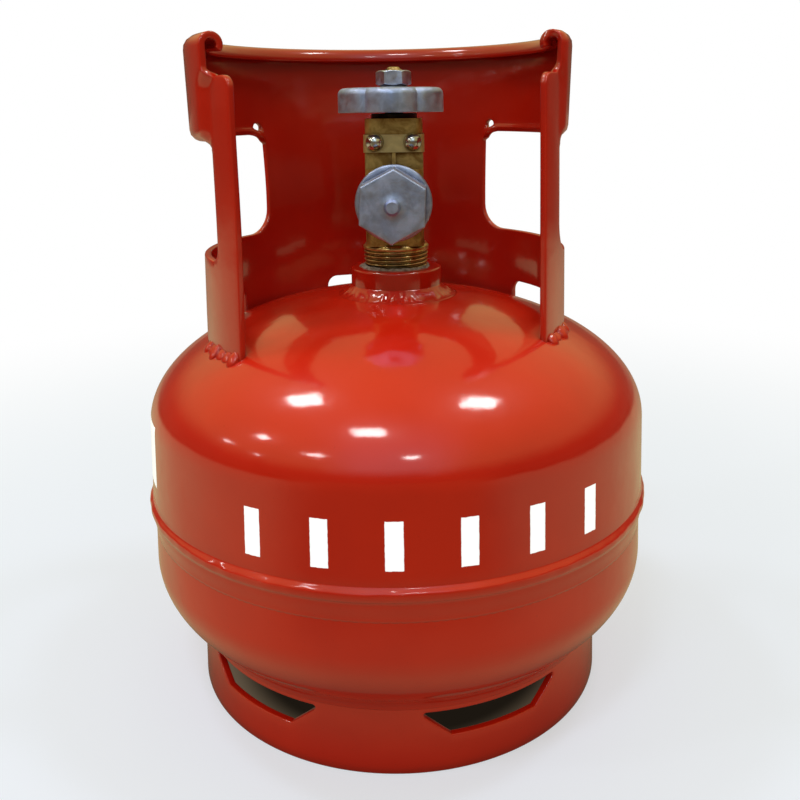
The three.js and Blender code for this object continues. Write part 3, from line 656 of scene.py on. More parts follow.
def worn_metal(name, dark, light, roughness, grain, pits, stain=None, milled_with_sheen=None, corner_shade_colour=None):
    """Bare metal: blotches of two colours, uneven gloss, painted shade that darkens it in corners, and a fine
    grain and pits whose depths are in millimetres. milled_with_sheen is a paler band, partly clean cut metal
    and partly a painted sheen: lowest level, highest level, colour."""
    material, nodes = new_material(name)
    coordinates = nodes.place()
    blotch = nodes.stretch(nodes.noise(coordinates, 130, 6, 0.62, 0.8), 0.36, 0.66)
    colour = nodes.mix(blotch, dark, light)
    if stain:
        patches = nodes.stretch(nodes.noise(coordinates, 48, 4, 0.6, 1.2), 0.5, 0.72)
        colour = nodes.mix(nodes.value("MULTIPLY", patches, 0.6), colour, stain)
    if milled_with_sheen:
        # a paler band: partly clean cut metal, partly a painted sheen where its flat faces catch more light
        low_edge, high_edge, cut_and_sheen_colour = milled_with_sheen
        level = nodes.add("ShaderNodeSeparateXYZ", {0: coordinates}).outputs["Z"]
        above = nodes.value("GREATER_THAN", level, low_edge * MM)
        below = nodes.value("LESS_THAN", level, high_edge * MM)
        in_band = nodes.value("MULTIPLY", above, below)
        colour = nodes.mix(nodes.value("MULTIPLY", in_band, 0.6), colour, cut_and_sheen_colour)
    # painted shade: the metal is darkened deep in corners, by how closed in each point is
    metal_corner_shade = nodes.stretch(nodes.crevice(3), 0.3, 0.95, 0.75, 0.0)
    colour = nodes.mix(metal_corner_shade, colour, corner_shade_colour or METAL_CORNER_SHADE)
    low, high = roughness
    normal = nodes.bump(nodes.noise(coordinates, 1500, 4, 0.6), 0.5, grain)
    normal = nodes.bump(nodes.noise(coordinates, 330, 5, 0.62), 0.6, pits, normal)
    finish_material(nodes, {
        "Base Color": colour,
        "Metallic": 1.0,
        "Roughness": nodes.stretch(nodes.noise(coordinates, 210, 5), 0.3, 0.7, low, high),
        "Normal": normal,
    })
    return material


def soft_solid(name, dark, light, roughness, grain):
    """Rubber or dried paste: two tones and a fine grain."""
    material, nodes = new_material(name)
    coordinates = nodes.place()
    tone = nodes.stretch(nodes.noise(coordinates, 420, 5, 0.65), 0.3, 0.7)
    finish_material(nodes, {
        "Base Color": nodes.mix(tone, dark, light),
        "Roughness": roughness,
        "Normal": nodes.bump(nodes.noise(coordinates, 1100, 4, 0.6), 0.7, grain),
    })
    return material


PAINT_DEEP = linear(203, 27, 8)
PAINT_BRIGHT = linear(218, 36, 10)
PAINT_DARK = linear(120, 8, 2)
PAINT_FLECK = linear(140, 18, 6)
PAINT_CORNER_SHADE = linear(92, 12, 6)
MARK_WHITE = linear(240, 247, 255)
MARK_THIN = linear(232, 238, 246)
MARK_PAINTED_GLOW = 0.7
METAL_CORNER_SHADE = linear(46, 38, 28)

paint = red_paint("red_paint")
marked_paint = red_paint("marked_red_paint", marked=True)
weld_paint = red_paint("weld_red_paint", lumpy=0.2)
flooded_paint = red_paint("flooded_red_paint", lumpy=0.06, deeper=0.3, inside_shade=0.3)
collar_paint = red_paint("collar_red_paint", deeper=0.12, inside_shade=0.55)
boss_paint = red_paint("boss_red_paint", deeper=0.45, inside_shade=0.45)
brass = worn_metal(
    "forged_brass", linear(152, 120, 68), linear(208, 178, 114),
    roughness=(0.38, 0.56), grain=0.05, pits=0.12, stain=linear(150, 106, 50),
    milled_with_sheen=(*BAND_BLOCK, linear(222, 206, 158)), corner_shade_colour=linear(92, 56, 22))
cut_brass = worn_metal(
    "machined_brass", linear(178, 150, 100), linear(226, 200, 146),
    roughness=(0.26, 0.42), grain=0.02, pits=0.04)
cast_aluminium = worn_metal(
    "cast_aluminium", linear(156, 168, 206), linear(182, 194, 232),
    roughness=(0.42, 0.6), grain=0.09, pits=0.18, stain=linear(142, 148, 168))
zinc_steel = worn_metal(
    "zinc_plated_steel", linear(176, 188, 222), linear(214, 224, 252),
    roughness=(0.26, 0.44), grain=0.03, pits=0.06)
ball_steel = worn_metal(
    "polished_steel", linear(176, 176, 180), linear(205, 207, 214),
    roughness=(0.16, 0.26), grain=0.005, pits=0.01)
dark_steel = worn_metal(
    "oiled_dark_steel", linear(40, 36, 32), linear(70, 62, 52),
    roughness=(0.35, 0.5), grain=0.03, pits=0.06)
rubber = soft_solid("seal_rubber", linear(24, 24, 24), linear(44, 42, 40), 0.75, 0.05)
sealant = soft_solid("dried_sealant", linear(84, 62, 50), linear(150, 138, 130), 0.85, 0.3)


# ---------------- pressed shells

def dome_height(distance, grow=0.0):
    share = 1 - (distance / (SHELL_RADIUS + grow)) ** 2
    return DOME_START + (DOME_RISE + grow) * np.sqrt(np.maximum(share, 0))


def bowl_height(distance):
    return BOWL_START - BOWL_DROP * math.sqrt(1 - (distance / BOWL_RADIUS) ** 2)


def upper_shell():
    hole = BOSS_RADIUS - 1.6
    inner = SHELL_RADIUS - SHELL_WALL
    outer_end = math.degrees(math.acos(hole / SHELL_RADIUS))
    inner_end = math.degrees(math.acos(hole / inner))
    lip = 0.7
    wall_steps = 6
    wall_height = DOME_START - SHELL_EDGE
    profile = [(inner, SHELL_EDGE), (SHELL_RADIUS - lip, SHELL_EDGE)]
    profile += arc(SHELL_RADIUS - lip, SHELL_EDGE + lip, lip, lip, -60, 0, 3)
    profile += [(SHELL_RADIUS, SHELL_EDGE + wall_height * k / wall_steps) for k in range(1, wall_steps)]
    profile += arc(0, DOME_START, SHELL_RADIUS, DOME_RISE, 0, outer_end, 44)
    profile += arc(0, DOME_START, inner, DOME_RISE - SHELL_WALL, inner_end, 0, 28)
    return turned(profile, full_turn(192))


def lower_shell():
    """The bowl. Its edge is pressed inwards and stands inside the upper shell."""
    inner = BOWL_RADIUS - SHELL_WALL
    outside_edge = SHELL_RADIUS - SHELL_WALL - 0.3
    inside_edge = outside_edge - SHELL_WALL
    top = lower_high[2]
    outside = [(BOWL_RADIUS, BOWL_START, 0), (BOWL_RADIUS, JOGGLE_START, 3),
               (outside_edge, JOGGLE_END, 2), (outside_edge, top, 0)]
    within = [(inside_edge, top, 0), (inside_edge, JOGGLE_END, 2),
              (inner, JOGGLE_START, 3), (inner, BOWL_START, 0)]
    profile = arc(0, BOWL_START, BOWL_RADIUS, BOWL_DROP, -90, 0, 44)[:-1]
    profile += rounded(outside, 5, closed=False) + rounded(within, 5, closed=False)
    profile += arc(0, BOWL_START, inner, BOWL_DROP - SHELL_WALL, 0, -90, 28)[1:]
    profile[0] = (0, profile[0][1])
    profile[-1] = (0, profile[-1][1])
    return turned(profile, full_turn(192))


def seam_weld():
    """A rounded bead over the upper shell's edge that runs out smoothly onto the lower shell."""
    root = SHELL_RADIUS - SHELL_WALL - 0.3
    reach = SEAM_RADIUS - SHELL_RADIUS - 0.2
    crest = SHELL_EDGE - 0.9
    bead_drop = 3.4
    bead_rise = 2.7
    run_out = JOGGLE_START - 3
    run_out_radius = BOWL_RADIUS - 0.02
    fillet_top = crest - 3.3
    fillet_width = SHELL_RADIUS + 0.27 - BOWL_RADIUS
    sunk = 0.05
    profile = []
    for share in np.linspace(0, 1, 9)[:-1]:
        ease = share * share * (3 - 2 * share)
        radius = run_out_radius + ease * (fillet_width - 0.02)
        profile.append((radius, run_out + share * (fillet_top - run_out)))
    profile += arc(SHELL_RADIUS, crest, reach, bead_drop, -78, 0, 10)
    for share in np.linspace(0, 1, 13)[1:]:
        proud = (reach + sunk) * (0.5 + 0.5 * math.cos(math.pi * share)) - sunk
        profile.append((SHELL_RADIUS + proud, crest + bead_rise * share))
    profile += [(SHELL_RADIUS - 0.3, SHELL_EDGE - 0.3), (root, SHELL_EDGE - 0.3), (root, JOGGLE_END + 1),
                (BOWL_RADIUS - 1.5, JOGGLE_START + 1), (BOWL_RADIUS - 0.8, run_out)]

    def shape(azimuth, radius, height):
        a = np.radians(azimuth)
        proud = smoothstep(SHELL_RADIUS, SEAM_RADIUS, radius)
        drift = np.sin(a * 5 + 0.6) * 0.25 + np.sin(a * 13) * 0.1
        waves = 0.1 * np.sin(a * 31 + 2 * np.sin(a * 11)) + 0.05 * np.sin(a * 73)
        return radius + proud * (waves - 0.15), height + drift * proud

    return turned(profile, full_turn(1152), shape)


stand_in("upper_shell", upper_shell(), marked_paint)
stand_in("lower_shell", lower_shell(), paint)
stand_in("seam_weld", seam_weld(), paint)


# ---------------- foot ring

def foot_ring():
    """The rolled ring with its slots, cut off along the line where it meets the bowl."""
    middle = FOOT_RADIUS - FOOT_SHEET / 2
    mm_per_degree = math.radians(middle)
    half_gap = 0.15
    start = FOOT_BUTT + half_gap
    end = FOOT_BUTT + 360 - half_gap
    top = bowl_height(middle) - 0.4

    def surface(along, up):
        azimuth = along / middle
        return np.stack([middle * np.sin(azimuth), -middle * np.cos(azimuth), up], 1)

    def outline(corners):
        return rounded([(azimuth * mm_per_degree, up, 1) for azimuth, up in corners])

    outlines = [outline([(start, 0), (end, 0), (end, top), (start, top)])]
    for slot in FOOT_SLOTS:
        centre = slot if slot > start else slot + 360
        outlines.append(outline([
            (centre - FOOT_SLOT_HALF_BASE, FOOT_SLOT_BASE), (centre + FOOT_SLOT_HALF_BASE, FOOT_SLOT_BASE),
            (centre + FOOT_SLOT_HALF_TOP, FOOT_SLOT_TOP), (centre - FOOT_SLOT_HALF_TOP, FOOT_SLOT_TOP)]))
    return bent_sheet(outlines, surface, FOOT_SHEET, edge_radius=0.6, spacing=2.4)


def foot_butt_weld():
    """The upright bead that closes the rolled foot ring."""
    steps = 60
    bottom = 1.2
    length = FOOT_SLOT_TOP + 2
    section = arc(0, 0, 2.6, 1.1, 0, 360, 12)[:-1]
    azimuth = math.radians(FOOT_BUTT)
    out = np.array([math.sin(azimuth), -math.cos(azimuth), 0])
    side = np.array([math.cos(azimuth), math.sin(azimuth), 0])
    rows = []
    for i in range(steps + 1):
        up = np.array([0, 0, bottom + length * i / steps])
        taper = math.sin(math.pi * (0.04 + 0.92 * i / steps)) ** 0.25
        swell = (1 + 0.25 * ripple(up[2] * 2, 3)) * taper
        rows.append([out * (FOOT_RADIUS - 0.35 + depth * swell) + side * across * swell + up
                     for across, depth in section])
    return capped_grid(rows)


def cove_ring(start, pull, end, backing, segments, lump, centre=(0, 0)):
    """A hollow fillet of weld flooded with paint, from a point on one face to a point on the other, bent
    towards the pull point. The backing points close it inside the metal. lump is how uneven it is."""
    steps = 14
    profile = []
    for share in np.linspace(0, 1, steps + 1):
        near, middle, far = (1 - share) ** 2, 2 * share * (1 - share), share ** 2
        profile.append(tuple(near * start[k] + middle * pull[k] + far * end[k] for k in (0, 1)))
    profile += backing

    def shape(azimuth, radius, height):
        a = np.radians(azimuth)
        along = np.minimum(np.arange(len(profile)) / steps, 1)
        waves = 0.6 * np.sin(9 * a + 1.3 * np.sin(4 * a)) + 0.4 * np.sin(19 * a + 2 * np.sin(5 * a + 1))
        drops = np.maximum(np.sin(14 * a + 2.6 * np.sin(3 * a)), 0) ** 2
        drops = drops * np.sin(2 * np.pi * along + 1.2 * np.sin(7 * a))
        patchy = 0.5 + 0.5 * np.sin(4 * a + 1.5 * np.sin(2 * a) + 1)
        beads = patchy * np.sin(33 * a + 4 * np.sin(5 * a)) * np.cos(6 * along + 4 * np.sin(3 * a))
        open_face = np.sin(np.pi * along) ** 1.5
        grow = lump * open_face * (0.5 * waves + 0.4 * beads + 0.9 * drops)
        return radius + grow * 0.6, height + grow

    return turned(profile, full_turn(segments), shape, centre)


def foot_fillet():
    """Paint and weld that fill the corner between the bowl and the outside of the foot ring."""
    corner = bowl_height(FOOT_RADIUS)
    leg = 3.4
    toe = FOOT_RADIUS + leg
    inside_ring = FOOT_RADIUS - 0.8
    backing = [(inside_ring, corner - leg), (inside_ring, corner + 1), (toe - 0.6, bowl_height(toe) + 1)]
    return cove_ring((toe, bowl_height(toe) - 0.02), (FOOT_RADIUS + 0.6, corner - 0.3),
                     (FOOT_RADIUS - 0.02, corner - leg), backing, 360, 0.02)


def foot_weld():
    """The uneven ring of weld between the bowl and the inside of the foot ring."""
    inner = FOOT_RADIUS - FOOT_SHEET
    corner_radius = inner + 0.1
    corner_height = bowl_height(inner) + 0.2
    reach = 4.2
    fall = 2
    drop = 4
    profile = [(corner_radius - reach * math.cos(a), corner_height - fall * math.cos(a) - drop * math.sin(a))
               for a in np.radians(np.linspace(0, 90, 11))]
    profile += [(corner_radius - 0.1 * reach - 0.3, corner_height - 0.5 * drop),
                (corner_radius - 0.3, corner_height - 0.8),
                (corner_radius - 0.9 * reach, corner_height - fall - 0.8)]

    def shape(azimuth, radius, height):
        a = np.radians(azimuth)
        lump = 0.072 * np.sin(23 * a + 2 * np.sin(5 * a + 2)) + 0.06 * np.sin(9 * a + 2)
        share = np.hypot(radius - corner_radius, height - corner_height) / reach
        grow = 1 + lump * np.clip(share, 0, 1)
        radius = corner_radius + (radius - corner_radius) * grow
        return radius, corner_height + (height - corner_height) * grow

    return turned(profile, full_turn(360), shape)


stand_in("foot_ring", foot_ring(), paint)
make_piece("foot_ring_butt_weld", foot_butt_weld(), weld_paint)
make_piece("foot_ring_fillet", foot_fillet(), paint)
stand_in("foot_ring_weld", foot_weld(), weld_paint)


# ---------------- neck

def neck_boss():
    seat = dome_height(BOSS_RADIUS) - 0.6
    bore = TAIL_TOP_RADIUS - (TAIL_TOP - BOSS_TOP) * TAIL_TAPER + 0.35
    spigot = BOSS_RADIUS - 3.1
    corners = [(bore - 1, boss_low[2], 0), (spigot, boss_low[2], 0.5), (spigot, seat, 0.2),
               (BOSS_RADIUS, seat, 0.4), (BOSS_RADIUS, BOSS_TOP, 1.1), (bore + 0.8, BOSS_TOP, 0.3),
               (bore, BOSS_TOP - 0.9, 0.2), (bore - 0.2, BOSS_TOP - 6, 0)]
    return on_valve(rounded(corners, 5), 128)


def neck_weld():
    foot = float(dome_height(BOSS_RADIUS))
    rise = 4.2
    toe = BOSS_RADIUS + 7
    toe_height = float(dome_height(toe)) - 0.05
    top = (BOSS_RADIUS - 0.1, foot + rise)
    pull = (BOSS_RADIUS + 2.2, foot + 0.4)
    backing = [(toe - 0.5, toe_height - 1), (BOSS_RADIUS - 1, foot - 0.6), (BOSS_RADIUS - 1, foot + rise)]
    return cove_ring(top, pull, (toe, toe_height), backing, 720, 0.32, (VALVE_X, 0))


def thread_sealant():
    """Paste squeezed out round the thread, uneven all the way round."""
    bore = TAIL_TOP_RADIUS - (TAIL_TOP - BOSS_TOP) * TAIL_TAPER
    reach = 1.7
    profile = [(bore - 0.9, BOSS_TOP - 0.3), (bore + reach, BOSS_TOP - 0.2), (bore + 1.5, BOSS_TOP + 0.2),
               (bore + 1.0, BOSS_TOP + 0.6), (bore + 0.5, BOSS_TOP + 0.9), (bore - 0.9, BOSS_TOP + 0.9)]

    def shape(azimuth, radius, height):
        a = np.radians(azimuth)
        swell = 0.5 * np.cos(a + 1.1) + 0.35 * np.sin(7 * a) + 0.3 * np.sin(17 * a + 2)
        outside = smoothstep(bore, bore + reach, radius)
        return radius + swell * outside, height + 0.25 * swell * (height > BOSS_TOP)

    return on_valve(profile, 180, shape)


stand_in("neck_boss", neck_boss(), boss_paint)
stand_in("neck_weld", neck_weld(), flooded_paint)
stand_in("thread_sealant", thread_sealant(), sealant)


# ---------------- guard collar

COLLAR_MIDDLE = COLLAR_RADIUS - COLLAR_SHEET / 2
COLLAR_MM_PER_DEGREE = math.radians(COLLAR_MIDDLE)
CURL_MIDDLE = CURL_RADIUS - COLLAR_SHEET / 2
CURL_START = COLLAR_TOP - CURL_RADIUS


def on_collar(azimuth, radius):
    """Where a point lies in the tank's frame, from its azimuth and radius about the collar's axis."""
    direction = np.radians(azimuth + COLLAR_TURN)
    return COLLAR_X + radius * np.sin(direction), COLLAR_Y - radius * np.cos(direction)


def beside_strip(azimuth, height):
    """0 on the strips beside the opening, 1 on the band. Above the strips the band is bent to its end."""
    from_middle = np.where(azimuth > 180, 360 - azimuth, azimuth)
    reach = np.where(azimuth > 180, 6, 2) * smoothstep(STRIP_TOP - 5, STRIP_TOP + 7, height)
    return smoothstep(RIM_END - 0.5, RIM_END + 4.5, from_middle + reach)


def collar_surface(along, up):
    """The middle of the collar's sheet, in the tank's frame. up runs up the wall and on round the curl.
    Over a hand hole the sheet's lower edge is folded inwards."""
    azimuth = along / COLLAR_MM_PER_DEGREE
    from_middle = np.where(azimuth > 180, 360 - azimuth, azimuth)
    beside = beside_strip(azimuth, up)
    over_hole = smoothstep(HAND_HOLE_FROM, HAND_HOLE_FROM + 5, from_middle) * smoothstep(212, 228, up)
    over_hole = over_hole * (1 - smoothstep(HAND_HOLE_TO - 5, HAND_HOLE_TO, from_middle))
    at_back = smoothstep(HAND_HOLE_TO - 20, HAND_HOLE_TO + 6, from_middle)
    rise = smoothstep(BAND_BASE, BAND_FULL, up)
    rise = rise + at_back * (smoothstep(205, 265, up) - rise)
    rise = rise + over_hole * (1 - rise)
    lean = BAND_LEAN * np.clip((up - BAND_FULL) / (CURL_START - BAND_FULL), 0, 1)
    shift = beside * rise * (BAND_FLARE + lean - BAND_OFFSET * np.sin(np.radians(azimuth)))
    shift = shift + np.where(azimuth > 180, STRIP_LEAN, 0) * (1 - beside) * smoothstep(190, STRIP_TOP, up)

    turn = np.maximum(up - CURL_START, 0) / CURL_MIDDLE
    radius = COLLAR_MIDDLE - CURL_MIDDLE * (1 - np.cos(turn)) + shift
    height = np.minimum(up, CURL_START) + CURL_MIDDLE * np.sin(turn)

    bend = np.maximum(over_hole, 1e-4) / FOLD_RADIUS
    below = np.maximum(FOLD_HEIGHT - up, 0)
    angle = np.minimum(bend * below, math.pi / 2)
    straight = np.maximum(below - angle / bend, 0)
    radius = radius - (1 - np.cos(angle)) / bend - straight * np.sin(angle)
    height = height + below - np.sin(angle) / bend - straight * np.cos(angle)

    return np.stack([*on_collar(azimuth, radius), height], 1)


def flat_outline(corners, steps):
    """An outline of (azimuth, height, corner radius) on the collar's unrolled sheet."""
    return rounded([(azimuth * COLLAR_MM_PER_DEGREE, up, radius) for azimuth, up, radius in corners], steps)


def foot_line(azimuth):
    """Height at which the collar's outside meets the dome."""
    return float(dome_height(math.hypot(*on_collar(azimuth, COLLAR_RADIUS)))) - 0.2


def collar_outline():
    """The collar's edge: along the feet from right to left by way of the back, then over the rim."""
    corners = []
    foot_starts = [OPENING_HALF] + [gap[1] for gap in FOOT_GAPS]
    foot_ends = [gap[0] for gap in FOOT_GAPS] + [360 - OPENING_HALF]
    for i, (start, end) in enumerate(zip(foot_starts, foot_ends)):
        corners += [(azimuth, foot_line(azimuth), 0) for azimuth in np.linspace(start, end, 9)]
        if i < len(FOOT_GAPS):
            _, gap_end, top = FOOT_GAPS[i]
            corners += [(end, top, 5), (gap_end, top, 5)]
    run_in = 20
    rim_edge = CURL_START + CURL_MIDDLE * math.radians(CURL_SWEEP)
    rim_end_edge = CURL_START + CURL_MIDDLE * math.radians(CURL_SWEEP_AT_ENDS)
    corners += [(360 - OPENING_HALF, STRIP_TOP, 5), (360 - RIM_END, STRIP_TOP, 4),
                (360 - RIM_END, rim_end_edge, 0.8), (360 - RIM_END - run_in, rim_edge, 3),
                (RIM_END + run_in, rim_edge, 3), (RIM_END, rim_end_edge, 0.8),
                (RIM_END, STRIP_TOP, 4), (OPENING_HALF, STRIP_TOP, 5)]
    return flat_outline(corners, 6)


def hand_hole_outline(mirrored):
    front_slope = 16
    back_slope = 6
    front_corner = 6 if mirrored else 13
    edge_end = HAND_HOLE_TOP - HAND_HOLE_TOP_DROP
    corners = [(HAND_HOLE_FROM, HAND_HOLE_BASE, front_corner), (HAND_HOLE_TO, HAND_HOLE_BASE, 12),
               (HAND_HOLE_TO, edge_end, 1.5), (HAND_HOLE_TO - back_slope, HAND_HOLE_TOP, 3),
               (HAND_HOLE_FROM + front_slope, HAND_HOLE_TOP - 1, 8), (HAND_HOLE_FROM, edge_end, 1.5)]
    if mirrored:
        corners = [(360 - azimuth, up, radius) for azimuth, up, radius in corners]
    return flat_outline(corners, 8)


def relief_outline(mirrored):
    azimuth, up, radius = RELIEF_HOLE
    centre = (360 - azimuth if mirrored else azimuth) * COLLAR_MM_PER_DEGREE
    return arc(centre, up, radius, radius, 0, 360, 20)[:-1]


def guard_collar():
    outlines = [collar_outline()]
    for mirrored in (False, True):
        outlines += [hand_hole_outline(mirrored), relief_outline(mirrored)]
    return bent_sheet(outlines, collar_surface, COLLAR_SHEET, edge_radius=0.7, spacing=1.7)


WELD_DROP = 5.2
COLLAR_WELDS = {                    # from, to
    "front_left": (-74, -51),
    "front_right": (52, 72),
    "back_left": (-150, -128),
    "back_right": (128, 150),
}


def collar_weld(start, end):
    """A run of weld drops along the outside of one of the collar's feet."""
    seed = start % 7
    length = (end - start) * COLLAR_MM_PER_DEGREE
    drops = round(length / WELD_DROP)
    step_length = 0.25
    steps = int(length / step_length)
    section = arc(0, 0, 1, 1, 0, 90, 9) + [(-0.2, 0.9), (-0.2, -0.3)]
    rows = []
    for i in range(steps + 1):
        share = i / steps
        azimuth = start + (end - start) * share
        index = min(int(share * drops), drops - 1)
        across_drop = 2 * (share * drops - index) - 1
        size = 0.85 + 0.3 * math.sin(index * 2.3 + seed)
        drop = size * math.sqrt(max(1 - across_drop ** 2, 0))
        outwards = 0.9 + 2.8 * drop
        upwards = 0.8 + 2.6 * drop
        ring = []
        for across, rise in section:
            x, y = on_collar(azimuth, COLLAR_RADIUS - 0.15 + across * outwards)
            height = float(dome_height(math.hypot(x, y))) - 0.25 + rise * upwards
            if rise > 0:
                height += 0.35 * noise.noise(Vector((x, y, rise * 4)) * 0.55 + Vector((seed, 0, 0)))
            ring.append((x, y, height))
        rows.append(ring)
    return capped_grid(rows)


stand_in("guard_collar", guard_collar(), collar_paint, sharp=60)
for place, (weld_start, weld_end) in COLLAR_WELDS.items():
    stand_in(f"collar_weld_{place}", collar_weld(weld_start, weld_end), weld_paint)


# ---------------- valve body

SPINDLE_HOLE = 4.5


def thread_shape(pitch, depth, hand, start, end, fade):
    """A shape for turned() that cuts a screw thread between two heights. hand is 1 or -1."""
    def shape(azimuth, radius, height):
        phase = (height / pitch - hand * azimuth / 360) % 1
        tooth = np.abs(phase * 2 - 1)
        ridge = smoothstep(0.12, 0.88, tooth)
        cut = smoothstep(start, start + fade, height) * (1 - smoothstep(end - fade, end, height))
        return radius - depth * (1 - ridge) * cut, height
    return shape


def valve_tail():
    """The bored taper thread, screwed into the boss, under a small chamfered shoulder."""
    bottom = body_low[2]
    top = BODY_BOTTOM + 0.5
    rows = np.arange(bottom, TAIL_TOP, THREAD_PITCH / 12)
    profile = [(INLET_BORE, bottom)]
    profile += [(TAIL_TOP_RADIUS - (TAIL_TOP - z) * TAIL_TAPER, z) for z in rows]
    profile += [(TAIL_TOP_RADIUS + 0.1, TAIL_TOP + 0.4), (TAIL_TOP_RADIUS + 0.1, TAIL_TOP + 1.0),
                (TAIL_TOP_RADIUS - 1.2, top), (INLET_BORE, top)]
    thread = thread_shape(THREAD_PITCH, THREAD_DEPTH, 1, bottom - 3, TAIL_TOP + 0.3, 1.2)
    return on_valve(profile, 128, thread)


def outlet_spigot():
    """The outlet's left-hand thread, with a bore and a chamfered mouth."""
    bore = OUTLET_BORE
    inner_end = 9
    root = BODY_WIDTH / 2 + 4
    core = SPIGOT_RADIUS - 1.2
    profile = [(bore, inner_end), (core, inner_end), (core, root - 0.5)]
    profile += [(SPIGOT_RADIUS, z) for z in np.arange(root, SPIGOT_END - 1.0, THREAD_PITCH / 10)]
    profile += [(SPIGOT_RADIUS - 0.2, SPIGOT_END - 0.9), (core, SPIGOT_END), (bore + 0.6, SPIGOT_END),
                (bore, SPIGOT_END - 0.6)]
    shape = thread_shape(THREAD_PITCH, 0.9, -1, root, SPIGOT_END + 2, 1.5)
    return towards_outlet(turned(profile, full_turn(128), shape))


def at_ball(mesh_data, side):
    """Moves a mesh to the left-hand ball's place, side -1, or to the right-hand one's."""
    middle = (ball_low + ball_high) / 2
    return moved(mesh_data, VALVE_X + side * (middle[0] - VALVE_X), middle[1], middle[2])


def valve_block():
    """The forged middle of the body: three blocks with pockets, bores and seats for the balls."""
    block_base, block_top = BAND_BLOCK
    half = BODY_WIDTH / 2

    def block(name, width, corner_radius, bottom, top):
        return plain_object(name, moved(prism(rounded_square(width, corner_radius), bottom, top), x=VALVE_X))

    def rod(radius, bottom, top):
        return [(0, bottom), (radius, bottom), (radius, top), (0, top)]

    root = towards_outlet(turned(rod(SPIGOT_RADIUS + 1.4, 6, half + 3), full_turn(64)))
    main = block("main", BODY_WIDTH, 3.2, BODY_BOTTOM, block_base + 0.2)
    steps = [("UNION", block("band", BAND_BLOCK_WIDTH, 2, block_base, block_top)),
             ("UNION", block("top", BODY_WIDTH - 0.4, 3.2, block_top - 0.2, BODY_TOP)),
             ("UNION", plain_object("root", root))]

    rib = 1.6
    pocket_depth = 1.8
    pocket_height = 7.5
    width = (BODY_WIDTH - rib) / 2
    ball = (ball_high - ball_low)[2] / 2 + 0.15
    for side in (-1, 1):
        across = VALVE_X + side * (width + rib) / 2
        left, right = across - width / 2, across + width / 2
        front, back = -half - 2, -half + pocket_depth
        outline = [(left, front), (right, front), (right, back), (left, back)]
        pocket = prism(outline, block_base - pocket_height, block_base)
        seat = turned([(0, -ball)] + arc(0, 0, ball, ball, -84, 84, 20) + [(0, ball)], full_turn(40))
        steps += [("DIFFERENCE", plain_object("pocket", pocket)),
                  ("DIFFERENCE", plain_object("seat", at_ball(seat, side)))]

    gland_bore = (gland_high[0] - gland_low[0]) / 2 - 0.4
    chamber = [(0, SEAT_HEIGHT), (CHAMBER_RADIUS, SEAT_HEIGHT), (CHAMBER_RADIUS, CHAMBER_TOP),
               (gland_bore, CHAMBER_TOP), (gland_bore, BODY_TOP + 5), (0, BODY_TOP + 5)]
    inlet = rod(INLET_BORE, BODY_BOTTOM - 1, SEAT_HEIGHT + 0.5)
    outlet = rod(OUTLET_BORE, 2, half + 5)
    for bore in (on_valve(chamber, 96), on_valve(inlet, 48), towards_outlet(turned(outlet, full_turn(48)))):
        steps.append(("DIFFERENCE", plain_object("bore", bore)))
    return combine(main, steps)


def locking_ball(side):
    radius = (ball_high[2] - ball_low[2]) / 2
    profile = [(0, -radius)] + arc(0, 0, radius, radius, -86, 86, 32) + [(0, radius)]
    return at_ball(turned(profile, full_turn(64)), side)


finish_piece("valve_body_block", valve_block(), brass, nodes=["valve_body"], sharp=35, bevel=0.45)
make_piece("valve_body_tail", valve_tail(), cut_brass, sharp=50)
make_piece("valve_body_spigot", outlet_spigot(), cut_brass, sharp=50)
for place, side in (("left", -1), ("right", 1)):
    stand_in(f"locking_ball_{place}", locking_ball(side), ball_steel)


# ---------------- spindle, handwheel and nut

WHEEL_OFFSET = -1.5
WHEEL_LOBES = 6
WHEEL_LOBE_TURN = 97.5
WHEEL_LOBE_DEPTH = 2.5
NUT_ACROSS_FLATS = 14


def handwheel():
    """A cast wheel with a hub, a thin web and a lobed rim that stands a little off its own bore."""
    base, top = wheel_low[2], wheel_high[2]
    radius = (wheel_high[1] - wheel_low[1]) / 2
    hub = 9
    web_base = base + 1.6
    web_top = top - 1.3
    rim_below = radius - 4.5
    rim_above = radius - 6.5
    corners = [(SPINDLE_HOLE, base, 0.3), (hub, base, 0.3), (hub + 1, web_base, 0.6),
               (rim_below - 1, web_base, 0.8), (rim_below, base, 0.6), (radius, base, 0.5), (radius, top, 3),
               (rim_above, top, 1.4), (rim_above - 1.5, web_top, 1.0), (hub + 0.6, web_top, 0.8),
               (hub - 0.4, top, 0.5), (SPINDLE_HOLE, top, 0.3)]

    def shape(azimuth, point_radius, height):
        a = np.radians(azimuth)
        hollow = 1 - np.abs(np.sin(np.radians(azimuth * WHEEL_LOBES / 2 - WHEEL_LOBE_TURN))) ** 0.7
        casting = 0.12 * np.sin(11 * a + height) + 0.1 * np.sin(29 * a)
        rim = smoothstep(radius - 7, radius - 1, point_radius)
        return point_radius - rim * (WHEEL_LOBE_DEPTH * hollow + 0.12 - 0.5 * casting), height

    vertices, faces = on_valve(rounded(corners, 6), 360, shape)
    from_axis = np.hypot(vertices[:, 0] - VALVE_X, vertices[:, 1])
    vertices[:, 0] += WHEEL_OFFSET * smoothstep(SPINDLE_HOLE + 2, radius - 8, from_axis)
    return vertices, faces


